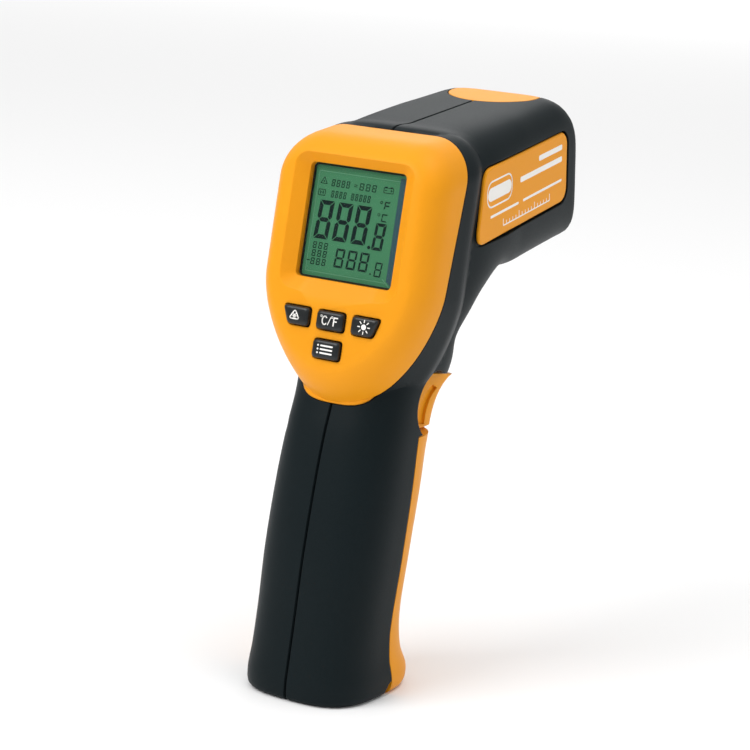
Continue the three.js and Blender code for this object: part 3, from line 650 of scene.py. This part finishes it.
def door_roll_room():
    """The room for the door's rolled lower edge to turn in."""
    y, z = DOOR_PIVOT
    return [
        bar(DOOR_SWEEP + GAP, (-20, y, z), (20, y, z)),
        block((-20, y - 2.3, z - 8), (20, y, z)),
    ]


def trigger_lug_room():
    return block((-5.6, 26, -36), (5.6, 37, -30.5))


def housing_half(side):
    half = side_block(side, (SEAM, -60, -160), (60, 120, 60))
    shell = common(cut(whole_form(), hollow()), half)
    bosses = [screw_boss(place, side) for place in SCREW_PLACES]
    ribs = [pin_cheek(side), optics_cradle(side), switch_and_spring_ribs(side), battery_ribs(side)]
    body = join(shell, *bosses, *ribs)
    openings = [
        behind_cap_line(GAP),
        seam_groove(),
        ahead_of_door_edge(-GAP),
        trigger_mouth(),
        trigger_lug_room(),
        *door_roll_room(),
        battery_room(),
        side_plate(side, 0.6, 1.3, 3, 0),
        cut(crown_disc(GAP), body_form(CROWN_THICKNESS + GAP)),
        in_handle(along_y(nose_outline(GAP), BARREL_LENGTH - 12, BARREL_LENGTH + 5)),
        *[screw_bore(place, side) for place in SCREW_PLACES],
    ]
    return join(cut(body, *openings), door_ear(side))


# ---- materials, in metres ----

CLOUD_SCALE, GRAIN_SCALE = 60, 2600
GLOSS_SPREAD = 0.05
GRAIN_DEPTH = 0.0001
MOULDED_EDGE = 0.0004


def feed(tree, node, **inputs):
    """Gives a node's inputs their values, or links them to the outputs given."""
    for name, value in inputs.items():
        socket = node.inputs[name.replace("_", " ")]
        if isinstance(value, bpy.types.NodeSocket):
            tree.links.new(value, socket)
        else:
            socket.default_value = value
    return node


def new_node(tree, kind, **inputs):
    return feed(tree, tree.nodes.new("ShaderNode" + kind), **inputs)


def new_look(name):
    """A new material, with its node tree and its shader."""
    look = bpy.data.materials.new(name)
    look.use_nodes = True
    return look, look.node_tree, look.node_tree.nodes["Principled BSDF"]


def material(
    name, color, roughness, shine=0.5, metallic=0.0, grain=0.0, mottle=0.0, edge=0.0, alpha=1.0
):
    """A surface with a fine moulded grain and a slight unevenness of colour and gloss."""
    look, tree, shader = new_look(name)
    place = new_node(tree, "TexCoord").outputs["Object"]
    cloudy = new_node(tree, "TexNoise", Vector=place, Scale=CLOUD_SCALE, Detail=3).outputs["Fac"]
    fine = new_node(tree, "TexNoise", Vector=place, Scale=GRAIN_SCALE, Detail=2).outputs["Fac"]
    smooth, rough = roughness - GLOSS_SPREAD, roughness + GLOSS_SPREAD
    gloss = new_node(tree, "MapRange", Value=fine, To_Min=smooth, To_Max=rough)
    shade = mottled(tree, cloudy, color, mottle)
    normal = grained(tree, fine, grain, edge)
    feed(tree, shader, Base_Color=shade, Roughness=gloss.outputs["Result"], Normal=normal)
    feed(tree, shader, Metallic=metallic, Specular_IOR_Level=shine, Alpha=alpha)
    return look


def mottled(tree, cloudy, color, mottle):
    """The colour, a little darker and lighter in soft patches."""
    shade = tree.nodes.new("ShaderNodeMix")
    shade.data_type = "RGBA"
    darker = (*(c * (1 - mottle) for c in color), 1)
    lighter = (*(min(c * (1 + mottle), 1) for c in color), 1)
    return feed(tree, shade, Factor=cloudy, A=darker, B=lighter).outputs["Result"]


def grained(tree, fine, grain, edge):
    """The surface's grain, over edges that are eased by a radius in metres."""
    bump = new_node(tree, "Bump", Height=fine, Strength=grain, Distance=GRAIN_DEPTH)
    if edge:
        eased = new_node(tree, "Bevel", Radius=edge)
        eased.samples = 4
        feed(tree, bump, Normal=eased.outputs["Normal"])
    return bump.outputs["Normal"]


# A look for each of the record's material slots.
LOOKS = {
    "housing": material(
        "housing_plastic", (0.0035, 0.0082, 0.01), 0.46, 0.12, grain=0.25, mottle=0.08, edge=MOULDED_EDGE
    ),
    "yellow": material(
        "yellow_plastic", (0.83, 0.32, 0.008), 0.42, 0.15, grain=0.15, mottle=0.03, edge=MOULDED_EDGE
    ),
    "key_rubber": material("key_rubber", (0.006, 0.008, 0.009), 0.3, 0.4, grain=0.3, mottle=0.1),
    "black_plastic": material("black_plastic", (0.008, 0.009, 0.01), 0.45, 0.3, grain=0.3, mottle=0.1),
    "screen": material("screen_green", (0.062, 0.235, 0.115), 0.5, 0.1, mottle=0.08),
    "white_plastic": material("white_plastic", (0.75, 0.75, 0.7), 0.5, grain=0.1, mottle=0.03),
    "board": material("circuit_board", (0.015, 0.11, 0.045), 0.4, grain=0.2, mottle=0.2),
    "steel": material("plated_steel", (0.56, 0.57, 0.6), 0.3, metallic=1, grain=0.2, mottle=0.05),
    "brass": material("turned_brass", (0.75, 0.53, 0.22), 0.3, metallic=1, grain=0.2, mottle=0.06),
    "battery_can": material("battery_can", (0.03, 0.032, 0.036), 0.3, grain=0.05, mottle=0.05),
    "red_lead": material("red_insulation", (0.42, 0.012, 0.01), 0.45, grain=0.1, mottle=0.05),
    "glass": material("clear_cover", (0.02, 0.03, 0.03), 0.12, 0.25, alpha=0.06),
}

# Looks of the printed marks, of the painted highlight and shade on the display's glass, and of the lens, which
# have no slot of their own.
INK = material("white_print", (0.9, 0.88, 0.84), 0.5, mottle=0.02)
SEGMENT = material("dark_segments", (0.006, 0.016, 0.016), 0.4, 0.1, mottle=0.1)
# painted highlight: a lighter green standing in for light caught by the glass's bevelled edges
PAINTED_BEVEL_HIGHLIGHT = material("bevel_highlight_paint", (0.12, 0.33, 0.2), 0.4, 0.1, mottle=0.05)
# painted shade: a darker blue-grey standing in for the shaded bevel down the glass's right side
SIDE_SHADE_LOOK = material("painted_glass_side_shade", (0.035, 0.09, 0.11), 0.35, 0.2, mottle=0.1)
LENS = material("dark_lens", (0.02, 0.02, 0.03), 0.08, mottle=0.1)

for entry in frame["record"]["subparts"]:
    node_mesh = frame["nodes"][entry["node"]].data
    node_mesh.materials.clear()
    node_mesh.materials.append(LOOKS[entry["material_slot"]])

SIDES = [(1, "right"), (-1, "left")]

for side, hand in SIDES:
    finished(housing_half(side), f"housing_shell_{hand}", "housing", "housing", f"housing_{hand}")
    plate = side_plate(side, 0, 1, -LABEL_LOW)
    finished(plate, f"label_plate_{hand}", "housing", "yellow", f"side_label_{hand}")

crown = cut(common(crown_disc(0), body_form()), body_form(CROWN_THICKNESS))
finished(crown, "crown_plate", "housing", "yellow", "top_cap")

# ---- display cap, window and keys ----

SCREEN_FRONT = node_box("lcd_module")[0].y
WINDOW_ROOM = 0.6
POST_PLACES = [(-9, 19), (9, 19)]

# Each key's name, its middle as (x, z), and the side that leans in: -1 left, 1 right, 0 none.
KEYS = [
    ("laser", -KEY_PITCH, KEY_ROW, -1),
    ("unit", 0, KEY_ROW, 0),
    ("backlight", KEY_PITCH, KEY_ROW, 1),
    ("mode", 0, MODE_ROW, 0),
]


def key_outline(x, z, cut_side, grow):
    """A soft rectangle; the outer side of the two side keys leans in to its foot."""
    w, h, corner = KEY_WIDTH / 2 + grow, KEY_HEIGHT / 2 + grow, KEY_CORNER
    turn = corner / (2 * h)

    def edge(side, up, inward=0):
        """A point at a share of the key's height on one side, or this far in from it."""
        lean = KEY_LEAN * (1 - up) if side == cut_side else 0
        return x + side * (w - lean - inward), z - h + 2 * h * up

    corners = [
        [edge(1, 0, corner), edge(1, 0), edge(1, turn)],
        [edge(1, 1 - turn), edge(1, 1), edge(1, 1, corner)],
        [edge(-1, 1, corner), edge(-1, 1), edge(-1, 1 - turn)],
        [edge(-1, turn), edge(-1, 0), edge(-1, 0, corner)],
    ]
    return [point for points in corners for point in bezier(points, 6)]


def window_frame():
    """The hollow that slopes from the cap's face down to the window; its lower lip is an arc."""
    width, height = 2 * RECESS_HALF_WIDTH, RECESS_TOP - RECESS_BOTTOM
    centre = (0, (RECESS_TOP + RECESS_BOTTOM) / 2)
    mouth = [
        (x, z - (RECESS_SAG * (1 - (x / RECESS_HALF_WIDTH) ** 2) if z < 0 else 0))
        for x, z in fine_rect(width, height, RECESS_CORNER, centre)
    ]
    floor = fine_rect(WINDOW_WIDTH + 0.8, WINDOW_HEIGHT + 0.8, WINDOW_CORNER, (0, 0))
    lip = [(x * 1.004, z * 1.004) for x, z in mouth]
    rings = [(FACE - 0.4, lip), (FACE, mouth), (RECESS_FLOOR, floor)]
    return loft([[(x, y, z) for x, z in ring] for y, ring in rings])


def fine_rect(width, height, radius, centre):
    """A rounded rectangle with points along its sides too, so that a side can bend."""
    corners = rounded_rect(width, height, radius, centre, 8)
    outline = []
    for k, corner in enumerate(corners):
        after = corners[(k + 1) % len(corners)]
        steps = 12 if math.dist(corner, after) > width / 3 else 1
        for step in range(steps):
            t = step / steps
            outline.append((corner[0] * (1 - t) + after[0] * t, corner[1] * (1 - t) + after[1] * t))
    return outline


def window_rect(grow, corner=WINDOW_CORNER):
    """The display window's outline, this much wider and higher."""
    return rounded_rect(WINDOW_WIDTH + grow, WINDOW_HEIGHT + grow, corner)


def display_cap():
    """The yellow skin round the display, with a pad behind the window and two screw posts."""
    skin = common(whole_form(), behind_cap_line(0))
    skin = cut(skin, inner_head(), coarse_form(WALL))
    pad = block((-17, -1.4, -17.4), (17, 1.2, 17.4))
    posts = [common(bar(1.7, (x, -1.4, z), (x, 5.7, z)), whole_form()) for x, z in POST_PLACES]
    tools = [bar(0.9, (x, 1, z), (x, 6, z)) for x, z in POST_PLACES]
    tools += [window_frame(), along_y(window_rect(WINDOW_ROOM), -1, 2)]
    tools += [along_y(key_outline(x, z, side, GAP), FACE - 1, 1) for _, x, z, side in KEYS]
    return cut(join(skin, pad, *posts), *tools)


def rubber_key(x, z, side):
    """One key, with its front edge rounded over."""
    front = FACE - KEY_PROUD
    edge = [(front + 0.75, 0), (front + 0.35, 0.12), (front + 0.1, 0.42), (front, 0.85)]
    return shaped_along_y(lambda inset: key_outline(x, z, side, -inset), [(0.2, 0), *edge])


def window_plate():
    low, high = node_box("display_window")
    bevel = 0.3
    profile = [(high.y, 0), (low.y + bevel, 0), (low.y, bevel)]
    return shaped_along_y(lambda inset: window_rect(-2 * inset), profile)


def screen_mask():
    """The black border between the window and the liquid crystal panel."""
    clearance = 0.05
    front = node_box("display_window")[1].y + clearance
    back = SCREEN_FRONT - clearance
    border = along_y(window_rect(0.2), front, back)
    return cut(border, along_y(window_rect(-0.4, 0.8), front - 1, back + 1))


finished(screen_mask(), "screen_mask", "housing", "black_plastic")
finished(display_cap(), "display_cap", "housing", "yellow", "display_bezel")
finished(window_plate(), "window_cover", "housing", "glass", "display_window")
for name, x, z, side in KEYS:
    body = f"key_{name}"
    finished(rubber_key(x, z, side), f"{name}_key", body, "key_rubber", body, sharp=40)

# ---- printed marks, and painted highlight and shade on the display's glass ----


def marks(polygons, place, name, body, slot, look):
    """Flat polygons of (u, v) points raised a hair off a surface.

    place(u, v, lift) gives the point of the surface at (u, v), lifted off it.
    """
    points, faces = [], []
    for polygon in polygons:
        start, count = len(points), len(polygon)
        points += [place(u, v, SUNK) for u, v in polygon]
        points += [place(u, v, PROUD) for u, v in polygon]
        faces.append(tuple(range(start, start + count)))
        faces.append(tuple(range(start + count, start + 2 * count)))
        for k in range(count):
            after = (k + 1) % count
            faces.append((start + k, start + after, start + count + after, start + count + k))
    shape = new_object(name, points, faces)
    face_out(shape.data)
    return finished(shape, name, body, slot, look=look)


def stroke(line, width):
    """A line of even width, as one four-cornered polygon to each stretch."""
    pieces = []
    for start, end in zip(line, line[1:]):
        start, end = Vector(start), Vector(end)
        along = (end - start).normalized() * (width / 2)
        aside = Vector((along.y, -along.x))
        start, end = start - along / 2, end + along / 2
        pieces.append([tuple(p) for p in (start + aside, end + aside, end - aside, start - aside)])
    return pieces


def outlined(shape, width):
    return stroke([*shape, shape[0]], width)


def disc(centre, radius, steps=20):
    return [arc(centre, radius, 0, 360 - 360 / steps, steps - 1)]


def ring_mark(centre, radius, width):
    return stroke(arc(centre, radius, 0, 360, 16), width)


def bar_mark(x0, x1, y, height):
    return [rounded_rect(x1 - x0, height, height * 0.3, ((x0 + x1) / 2, y), 3)]


def digit(x, y, width, height, thick, lit="abcdefg", slant=0.07):
    """A seven-segment figure with mitred corners, whose lower left corner is (x, y)."""
    w, h, t, gap = width, height, thick, thick * 0.12
    middle = h / 2
    waist = middle - t / 2 - gap
    upright = [(0, gap), (t, t + gap), (t, waist), (t / 2, middle - gap), (0, waist)]
    level = [(gap, h), (w - gap, h), (w - t - gap, h - t), (t + gap, h - t)]
    bridge = [(t / 2 + gap, middle), (t + gap, middle + t / 2), (w - t - gap, middle + t / 2)]

    def swapped(points):
        return [(w - px, py) for px, py in points]

    def upturned(points):
        return [(px, h - py) for px, py in points]

    segments = {
        "a": level,
        "b": swapped(upturned(upright)),
        "c": swapped(upright),
        "d": upturned(level),
        "e": upright,
        "f": upturned(upright),
        "g": [*bridge, *swapped(upturned(bridge))],
    }
    return [[(x + px + slant * py, y + py) for px, py in segments[name]] for name in lit]


def on_screen(share_across, share_down):
    """A place on the screen given as shares of its width and height from the top left."""
    return (share_across - 0.5) * WINDOW_WIDTH, (0.5 - share_down) * WINDOW_HEIGHT


def figures(left, right, top, bottom, thick, count=1, lit="abcdefg"):
    """A row of figures between two places, given as shares of the screen; thick is in mm."""
    x0, y1 = on_screen(left, top)
    x1, y0 = on_screen(right, bottom)
    pitch = (x1 - x0) / count
    shapes = []
    for k in range(count):
        shapes += digit(x0 + k * pitch, y0, pitch * 0.66, y1 - y0, thick, lit)
    return shapes


def main_reading():
    """Three large figures, a point and a smaller fourth."""
    art = []
    for left in (0.075, 0.277, 0.477):
        art += figures(left, left + 0.235, 0.315, 0.66, 1.15)
    art += figures(0.705, 0.875, 0.445, 0.685, 0.8)
    return art + disc(on_screen(0.68, 0.668), 0.48)


def second_reading():
    """The row below: three middle-sized figures, a point and a small fourth."""
    art = []
    for left in (0.335, 0.467, 0.597):
        art += figures(left, left + 0.145, 0.72, 0.89, 0.56)
    art += figures(0.77, 0.88, 0.785, 0.915, 0.38)
    return art + disc(on_screen(0.735, 0.897), 0.24)


def small_rows():
    """Rows of small cells, where the display has its words."""
    art = figures(0.19, 0.4, 0.122, 0.185, 0.24, 4)
    art += figures(0.49, 0.69, 0.122, 0.185, 0.24, 3)
    art += figures(0.2, 0.375, 0.222, 0.284, 0.24, 4)
    art += figures(0.415, 0.635, 0.222, 0.284, 0.24, 5)
    for top in (0.69, 0.762, 0.835):
        art += figures(0.085, 0.265, top, top + 0.06, 0.26, 3)
    return art + stroke([on_screen(0.045, 0.861), on_screen(0.075, 0.861)], 0.25)


def unit_signs():
    """The two temperature unit signs beside the main reading, each with its small ring."""
    art = figures(0.775, 0.87, 0.25, 0.325, 0.36, lit="aefg")
    art += ring_mark(on_screen(0.745, 0.262), 0.32, 0.18)
    art += figures(0.765, 0.86, 0.36, 0.43, 0.32, lit="adef")
    return art + ring_mark(on_screen(0.735, 0.372), 0.32, 0.16)


def screen_icons():
    art = []
    for down in (0.145, 0.16):
        art += stroke([on_screen(0.435, down), on_screen(0.465, down)], 0.18)
    art += warning_triangle(*on_screen(0.108, 0.15), 1.1, 0.18)
    art += boxed_bars(*on_screen(0.1, 0.25))
    return art + battery_icon(*on_screen(0.8, 0.152))


def screen_marks():
    return [*main_reading(), *second_reading(), *small_rows(), *unit_signs(), *screen_icons()]


def screen_bevel_highlights():
    """Painted highlight lines where the display's glass is bevelled, along its top, foot and left side, standing
    in for the light that its bevelled edges catch.
    """
    corners = [(0.91, 0.06), (0.045, 0.06), (0.045, 0.955), (0.91, 0.955)]
    line = [on_screen(*corner) for corner in corners]
    corner_line = [on_screen(0.87, 0.925), on_screen(0.945, 0.985)]
    return stroke(line, 0.16) + stroke(corner_line, 0.2)


def glass_side_painted_shade():
    """Painted shade: a darker band down the right side of the display's glass, standing in for its shaded bevelled
    side.
    """
    corners = [(0.91, 0.03), (0.97, 0.03), (0.97, 0.98), (0.91, 0.94)]
    return [[on_screen(*corner) for corner in corners]]


def warning_triangle(x, y, size, width):
    corners = arc((x, y), size, 90, 450, 3)
    return stroke(corners, width) + disc((x, y), size * 0.2, 12)


def boxed_bars(x, y):
    """A small box with two upright bars and a level one between them."""
    art = outlined(rounded_rect(2, 1.5, 0.1, (x, y), 1), 0.18)
    for dx in (-0.4, 0.4):
        art += stroke([(x + dx, y - 0.45), (x + dx, y + 0.45)], 0.2)
    return art + stroke([(x - 0.4, y), (x + 0.4, y)], 0.18)


def battery_icon(x, y):
    """A box with a minus sign and a plus sign in it, and a terminal over each."""
    art = outlined(rounded_rect(2.8, 1.3, 0.1, (x, y), 1), 0.18)
    for dx in (-0.8, 0.8):
        art += stroke([(x + dx - 0.3, y + 0.85), (x + dx + 0.3, y + 0.85)], 0.22)
        art += stroke([(x + dx - 0.3, y), (x + dx + 0.3, y)], 0.16)
    return art + stroke([(x + 0.8, y - 0.3), (x + 0.8, y + 0.3)], 0.16)


def triangle_burst(x, y):
    """A rounded triangle with a six-rayed spot of light in it."""
    corners = oval_arc((x, y - 0.15), 1.75, 1.6, 90, 330, 2)
    rounded = []
    for k, corner in enumerate(corners):
        toward = [corners[k - 1], corners[(k + 1) % 3]]
        start, end = ([corner[a] * 0.75 + t[a] * 0.25 for a in range(2)] for t in toward)
        rounded += bezier([start, corner, end], 4)
    spot = (x, y - 0.2)
    art = outlined(rounded, 0.32) + disc(spot, 0.45)
    for ray_end in arc(spot, 0.75, 0, 300, 5):
        art += stroke([spot, ray_end], 0.14)
    return art


def sun(x, y):
    """A disc with eight rays round it."""
    art = disc((x, y), 0.72)
    for ray in zip(arc((x, y), 1.15, 0, 315, 7), arc((x, y), 1.8, 0, 315, 7)):
        art += stroke(ray, 0.26)
    return art


def unit_sign(x, y):
    """The two temperature unit signs, with a stroke between them."""
    art = ring_mark((x - 2.35, y + 1.0), 0.24, 0.16) + ring_mark((x + 0.85, y + 1.0), 0.24, 0.16)
    art += stroke(oval_arc((x - 1.25, y), 0.72, 1.05, 45, 315, 15), 0.34)
    art += stroke([(x - 0.25, y - 1.05), (x + 0.45, y + 0.9)], 0.22)
    art += stroke([(x + 1.45, y - 1.1), (x + 1.45, y + 1.0), (x + 2.55, y + 1.0)], 0.34)
    return art + stroke([(x + 1.45, y + 0.05), (x + 2.3, y + 0.05)], 0.3)


def menu_sign(x, y):
    """A generic menu sign: three lines, each led by a dot."""
    art = []
    for level in (-0.95, 0, 0.95):
        art += disc((x - 2.1, y + level), 0.26, 12)
        art += bar_mark(x - 1.4, x + 2.3, y + level, 0.42)
    return art


KEY_SIGNS = {"laser": triangle_burst, "unit": unit_sign, "backlight": sun, "mode": menu_sign}


def label_marks():
    """A generic print: an empty capsule, title bars, a thin line and a graduated scale."""
    capsule = (35.6, 4.6)
    art = [rounded_rect(14.4, 3.6, 1.8, capsule)]
    art += outlined(rounded_rect(15.4, 6.8, 2.9, capsule), 0.45)
    art += bar_mark(60.5, 76, 7.9, 1.5) + bar_mark(48.5, 76, 4.6, 1.5)
    art += bar_mark(30, 47.5, -1.4, 0.7) + bar_mark(50.5, 76, -1.4, 0.7)
    scale_start, scale_foot, scale_pitch = 38, -5.4, 2
    art += bar_mark(scale_start, 68, scale_foot, 0.35)
    for k in range(16):
        x = scale_start + scale_pitch * k
        tall = 1.8 if k % 5 == 0 else 1
        art += stroke([(x, scale_foot), (x, scale_foot + tall)], 0.3)
    return art


def on_keys(u, v, lift):
    return u, FACE - KEY_PROUD - lift, v


def on_display(u, v, lift):
    return u, SCREEN_FRONT - lift, v


def on_label(side):
    """The places on one side's label; the print reads forward on both sides."""

    def place(u, v, lift):
        y = u if side > 0 else LABEL_LEFT + LABEL_RIGHT - u
        return from_barrel(y, v, side * label_depth(y, lift - LABEL_LOW))

    return place


for name, x, z, _ in KEYS:
    marks(KEY_SIGNS[name](x, z), on_keys, f"{name}_key_sign", f"key_{name}", "key_rubber", INK)
# The screen's segments are print; the bevel lines are a painted highlight and the side band is painted shade on
# the display's glass.
for art, name, look in (
    (screen_marks(), "screen_segments", SEGMENT),
    (screen_bevel_highlights(), "screen_bevel_highlights", PAINTED_BEVEL_HIGHLIGHT),
    (glass_side_painted_shade(), "glass_side_painted_shade", SIDE_SHADE_LOOK),
):
    marks(art, on_display, name, "housing", "white_plastic", look)
for side, hand in SIDES:
    marks(label_marks(), on_label(side), f"label_print_{hand}", "housing", "white_plastic", INK)

# ---- trigger ----


def trigger_ring(x):
    """The trigger's side outline at a distance from the middle; its front edge rounds off sideways."""
    eased = rounding(TRIGGER_CORNER, abs(x) - (TRIGGER_HALF_WIDTH - TRIGGER_CORNER))
    front = bezier([(44.4, -35.6), (39.6, -38), (36.2, -42), (36, trigger_bottom(36))], 20)
    rear = bezier([(24.5, trigger_bottom(24.5)), (18.6, -49), (18, -40), (21, -37)], 14)
    outline = [(y - eased, z) for y, z in front] + [*rear, (26, -36.6), (28, -35.6)]
    return [(x, y, z) for y, z in outline]


def trigger_panel(side):
    """The shallow panel let into one side of the trigger."""
    outline = [
        *bezier([(31, -38.6), (26, -40.4), (24.6, -45), (25.2, -49.2)], 12),
        *bezier([(29.4, -49.2), (28.8, -45.4), (30, -41.6), (33.4, -39.4)], 12),
    ]
    depth = TRIGGER_HALF_WIDTH - 0.8
    return across_x(outline, *sorted((side * depth, side * 20)))


def trigger_shape():
    y, z = TRIGGER_PIVOT
    turns = np.radians(np.linspace(0, 90, 10))
    half = [TRIGGER_HALF_WIDTH - TRIGGER_CORNER * (1 - math.cos(t)) for t in turns]
    body = loft([trigger_ring(x) for x in [*(-x for x in half), *reversed(half)]])
    lug = join(block((-5, y - 3, z - 7), (5, y + 3, z)), bar(3, (-5, y, z), (5, y, z)))
    nub = block((-2, 18.3, -48), (2, 21, -43.4))
    bore = bar(TRIGGER_PIN_BORE, (-6, y, z), (6, y, z))
    return cut(join(body, lug, nub), bore, trigger_panel(1), trigger_panel(-1))


finished(trigger_shape(), "trigger_blade", "trigger", "yellow", "trigger")

# ---- battery door ----


def ear_room(side):
    """The room that the housing's ear needs in the door, as the door turns round it."""
    y, z = DOOR_PIVOT
    start, end = EAR_START - GAP, EAR_END + GAP
    return [
        bar(DOOR_SWEEP + GAP, (side * start, y, z), (side * end, y, z)),
        side_block(side, (start, y - 4, z - 3), (end, y, z + 2)),
        side_block(side, (start, y - 1, z - 3), (end, y + 1.7, z)),
    ]


def door_shape():
    y, z = DOOR_PIVOT
    within = cut(coarse_form(WALL), under_floor(FOOT_WALL))
    skin = cut(common(body_form(), ahead_of_door_edge(0)), within)
    behind = block((-REACH, 0, -130), (REACH, y, z + 1.8))
    roll = common(bar(DOOR_SWEEP, (-15.4, y, z), (15.4, y, z)), cut(body_form(), under_floor(0.1)))
    pin_hole = bar(DOOR_PIN_BORE, (-13, y, z), (13, y, z))
    rooms = [battery_room(), *ear_room(1), *ear_room(-1), pin_hole]
    return cut(join(cut(skin, behind), roll), *rooms)


finished(door_shape(), "door_shell", "battery_door", "yellow", "battery_door")

# ---- battery ----

TERMINALS = [(-6.35, 2.9), (6.35, 3.6)]  # the place across and the radius of each stud


def can_ring(z, inset):
    """The battery's outline at a height, drawn in by an inset."""
    low, high = node_box("battery")
    width, depth = high.x - low.x - 2 * inset, high.y - low.y - 2 * inset
    outline = rounded_rect(width, depth, CAN_CORNER, (0, (low.y + high.y) / 2))
    return [(x, y, z) for x, y in outline]


def battery_can():
    low, high = node_box("battery")
    foot, top = low.z, high.z - TERMINAL_HEIGHT
    roll = [(0, CAN_ROLL), (0.2, 0.25), (CAN_ROLL, 0.04), (CAN_ROLL + 0.4, 0.25)]
    rings = [(foot + up, inset) for up, inset in roll]
    rings += [(top - up, inset) for up, inset in reversed(roll)]
    can = loft([can_ring(z, inset) for z, inset in rings])
    well = loft([can_ring(z, 1.3) for z in (top - 0.5, top + 1)])
    studs = []
    bevel = 0.5
    for x, radius in TERMINALS:
        place = (x, (low.y + high.y) / 2)
        shoulder = (*place, high.z - bevel)
        studs.append(bar(radius, (*place, top - 1), shoulder))
        studs.append(bar(radius, shoulder, (*place, high.z), end_radius=radius - bevel))
    return join(cut(can, well), *studs)


def battery_wrap():
    """The copper-coloured band round the upper third of the battery."""
    low, high = node_box("battery")
    profile = [(18, 0.2), (18.05, 0.12), (3.6, 0.12), (3.65, 0.2)]
    band = loft([can_ring(high.z - down, inset) for down, inset in profile])
    return cut(band, loft([can_ring(z, 0.3) for z in (low.z, high.z)]))


finished(battery_can(), "battery_case", "housing", "battery_can", "battery")
finished(battery_wrap(), "battery_band", "housing", "brass")

# ---- nose ----


def nose_front():
    """The nose plate, with the lens's flared hole and the laser's small one."""
    profile = [(84.9, 0), (87.2, 0), (87.6, 0.4)]
    plate = shaped_along_y(lambda inset: nose_outline(-inset), profile)
    sight = bar(6.3, (0, 84, LENS_HEIGHT), (0, 88, LENS_HEIGHT), 64, 7.6)
    aim = bar(1.8, (0, 84, LASER_HEIGHT), (0, 88, LASER_HEIGHT))
    return in_handle(cut(plate, sight, aim))


def lens_dome():
    """The lens: a disc whose front bulges out."""
    profile = [(LENS_BACK, LENS_RADIUS)]
    for turn in np.radians(np.linspace(0, 86, 12)):
        profile.append((LENS_RIM + LENS_BULGE * math.sin(turn), LENS_RADIUS * math.cos(turn)))

    def circle(radius):
        return arc((0, LENS_HEIGHT), radius, 0, 352.5, 47)

    return in_handle(shaped_along_y(circle, profile))


finished(nose_front(), "nose_front", "housing", "black_plastic", "nose_plate")
finished(lens_dome(), "lens_dome", "housing", "glass", "infrared_lens", look=LENS)

# ---- floor, light and camera, in metres ----

MIDDLE = (0, 0.03, 0.09)
FLOOR_HALF_SIZE = 8
FLOOR_COLOR, FLOOR_ROUGHNESS = (0.92, 0.92, 0.92), 0.9
SKY_LOW, SKY_HIGH = 0.35, 1.05

# Each light's name, place, target, size and power.
LIGHTS = [
    ("key_light", (-0.45, -0.85, 1.0), MIDDLE, 0.7, 9),
    ("top_light", (0.35, 0.1, 1.3), MIDDLE, 0.6, 3),
    ("background_light", (-2.4, 4.8, 2.2), (-2.4, 4.8, 0), 3, 60),
]

CAMERA_PLACE = (0.3274, -0.5422, 0.2176)
CAMERA_AHEAD, CAMERA_UP = (-0.496, 0.8435, -0.2062), (-0.1643, 0.142, 0.9761)
CAMERA_LENS, CAMERA_SENSOR = 120, 36


def pale_floor():
    size = FLOOR_HALF_SIZE
    corners = [(-size, -size, 0), (size, -size, 0), (size, size, 0), (-size, size, 0)]
    floor = new_object("floor", corners, [(0, 1, 2, 3)])
    paint, tree, shader = new_look("floor_paint")
    feed(tree, shader, Base_Color=(*FLOOR_COLOR, 1), Roughness=FLOOR_ROUGHNESS)
    floor.data.materials.append(paint)


def area_light(name, place, target, size, power):
    data = bpy.data.lights.new(name, "AREA")
    data.size = size
    data.energy = power
    lamp = bpy.data.objects.new(name, data)
    bpy.context.scene.collection.objects.link(lamp)
    lamp.location = place
    lamp.rotation_mode = "QUATERNION"
    lamp.rotation_quaternion = (Vector(target) - Vector(place)).to_track_quat("-Z", "Y")


def studio():
    """A soft white surround, brighter from above, with the lights."""
    world = bpy.data.worlds.new("studio")
    bpy.context.scene.world = world
    world.use_nodes = True
    tree = world.node_tree
    direction = new_node(tree, "TexCoord").outputs["Generated"]
    height = new_node(tree, "SeparateXYZ", Vector=direction).outputs["Z"]
    sky = new_node(tree, "MapRange", Value=height, To_Min=SKY_LOW, To_Max=SKY_HIGH)
    feed(tree, tree.nodes["Background"], Strength=sky.outputs["Result"], Color=(1, 1, 1, 1))
    for light in LIGHTS:
        area_light(*light)
    bpy.context.scene.view_settings.view_transform = "Standard"


def camera():
    """The photograph's own viewpoint."""
    data = bpy.data.cameras.new("camera")
    data.lens = CAMERA_LENS
    data.sensor_width = CAMERA_SENSOR
    data.clip_start, data.clip_end = 0.01, 20
    view = bpy.data.objects.new("camera", data)
    bpy.context.scene.collection.objects.link(view)
    ahead = Vector(CAMERA_AHEAD).normalized()
    right = ahead.cross(Vector(CAMERA_UP)).normalized()
    up = right.cross(ahead)
    turn = Matrix((right, up, -ahead)).transposed()
    view.matrix_world = Matrix.Translation(CAMERA_PLACE) @ turn.to_4x4()
    bpy.context.scene.camera = view


pale_floor()
studio()
camera()
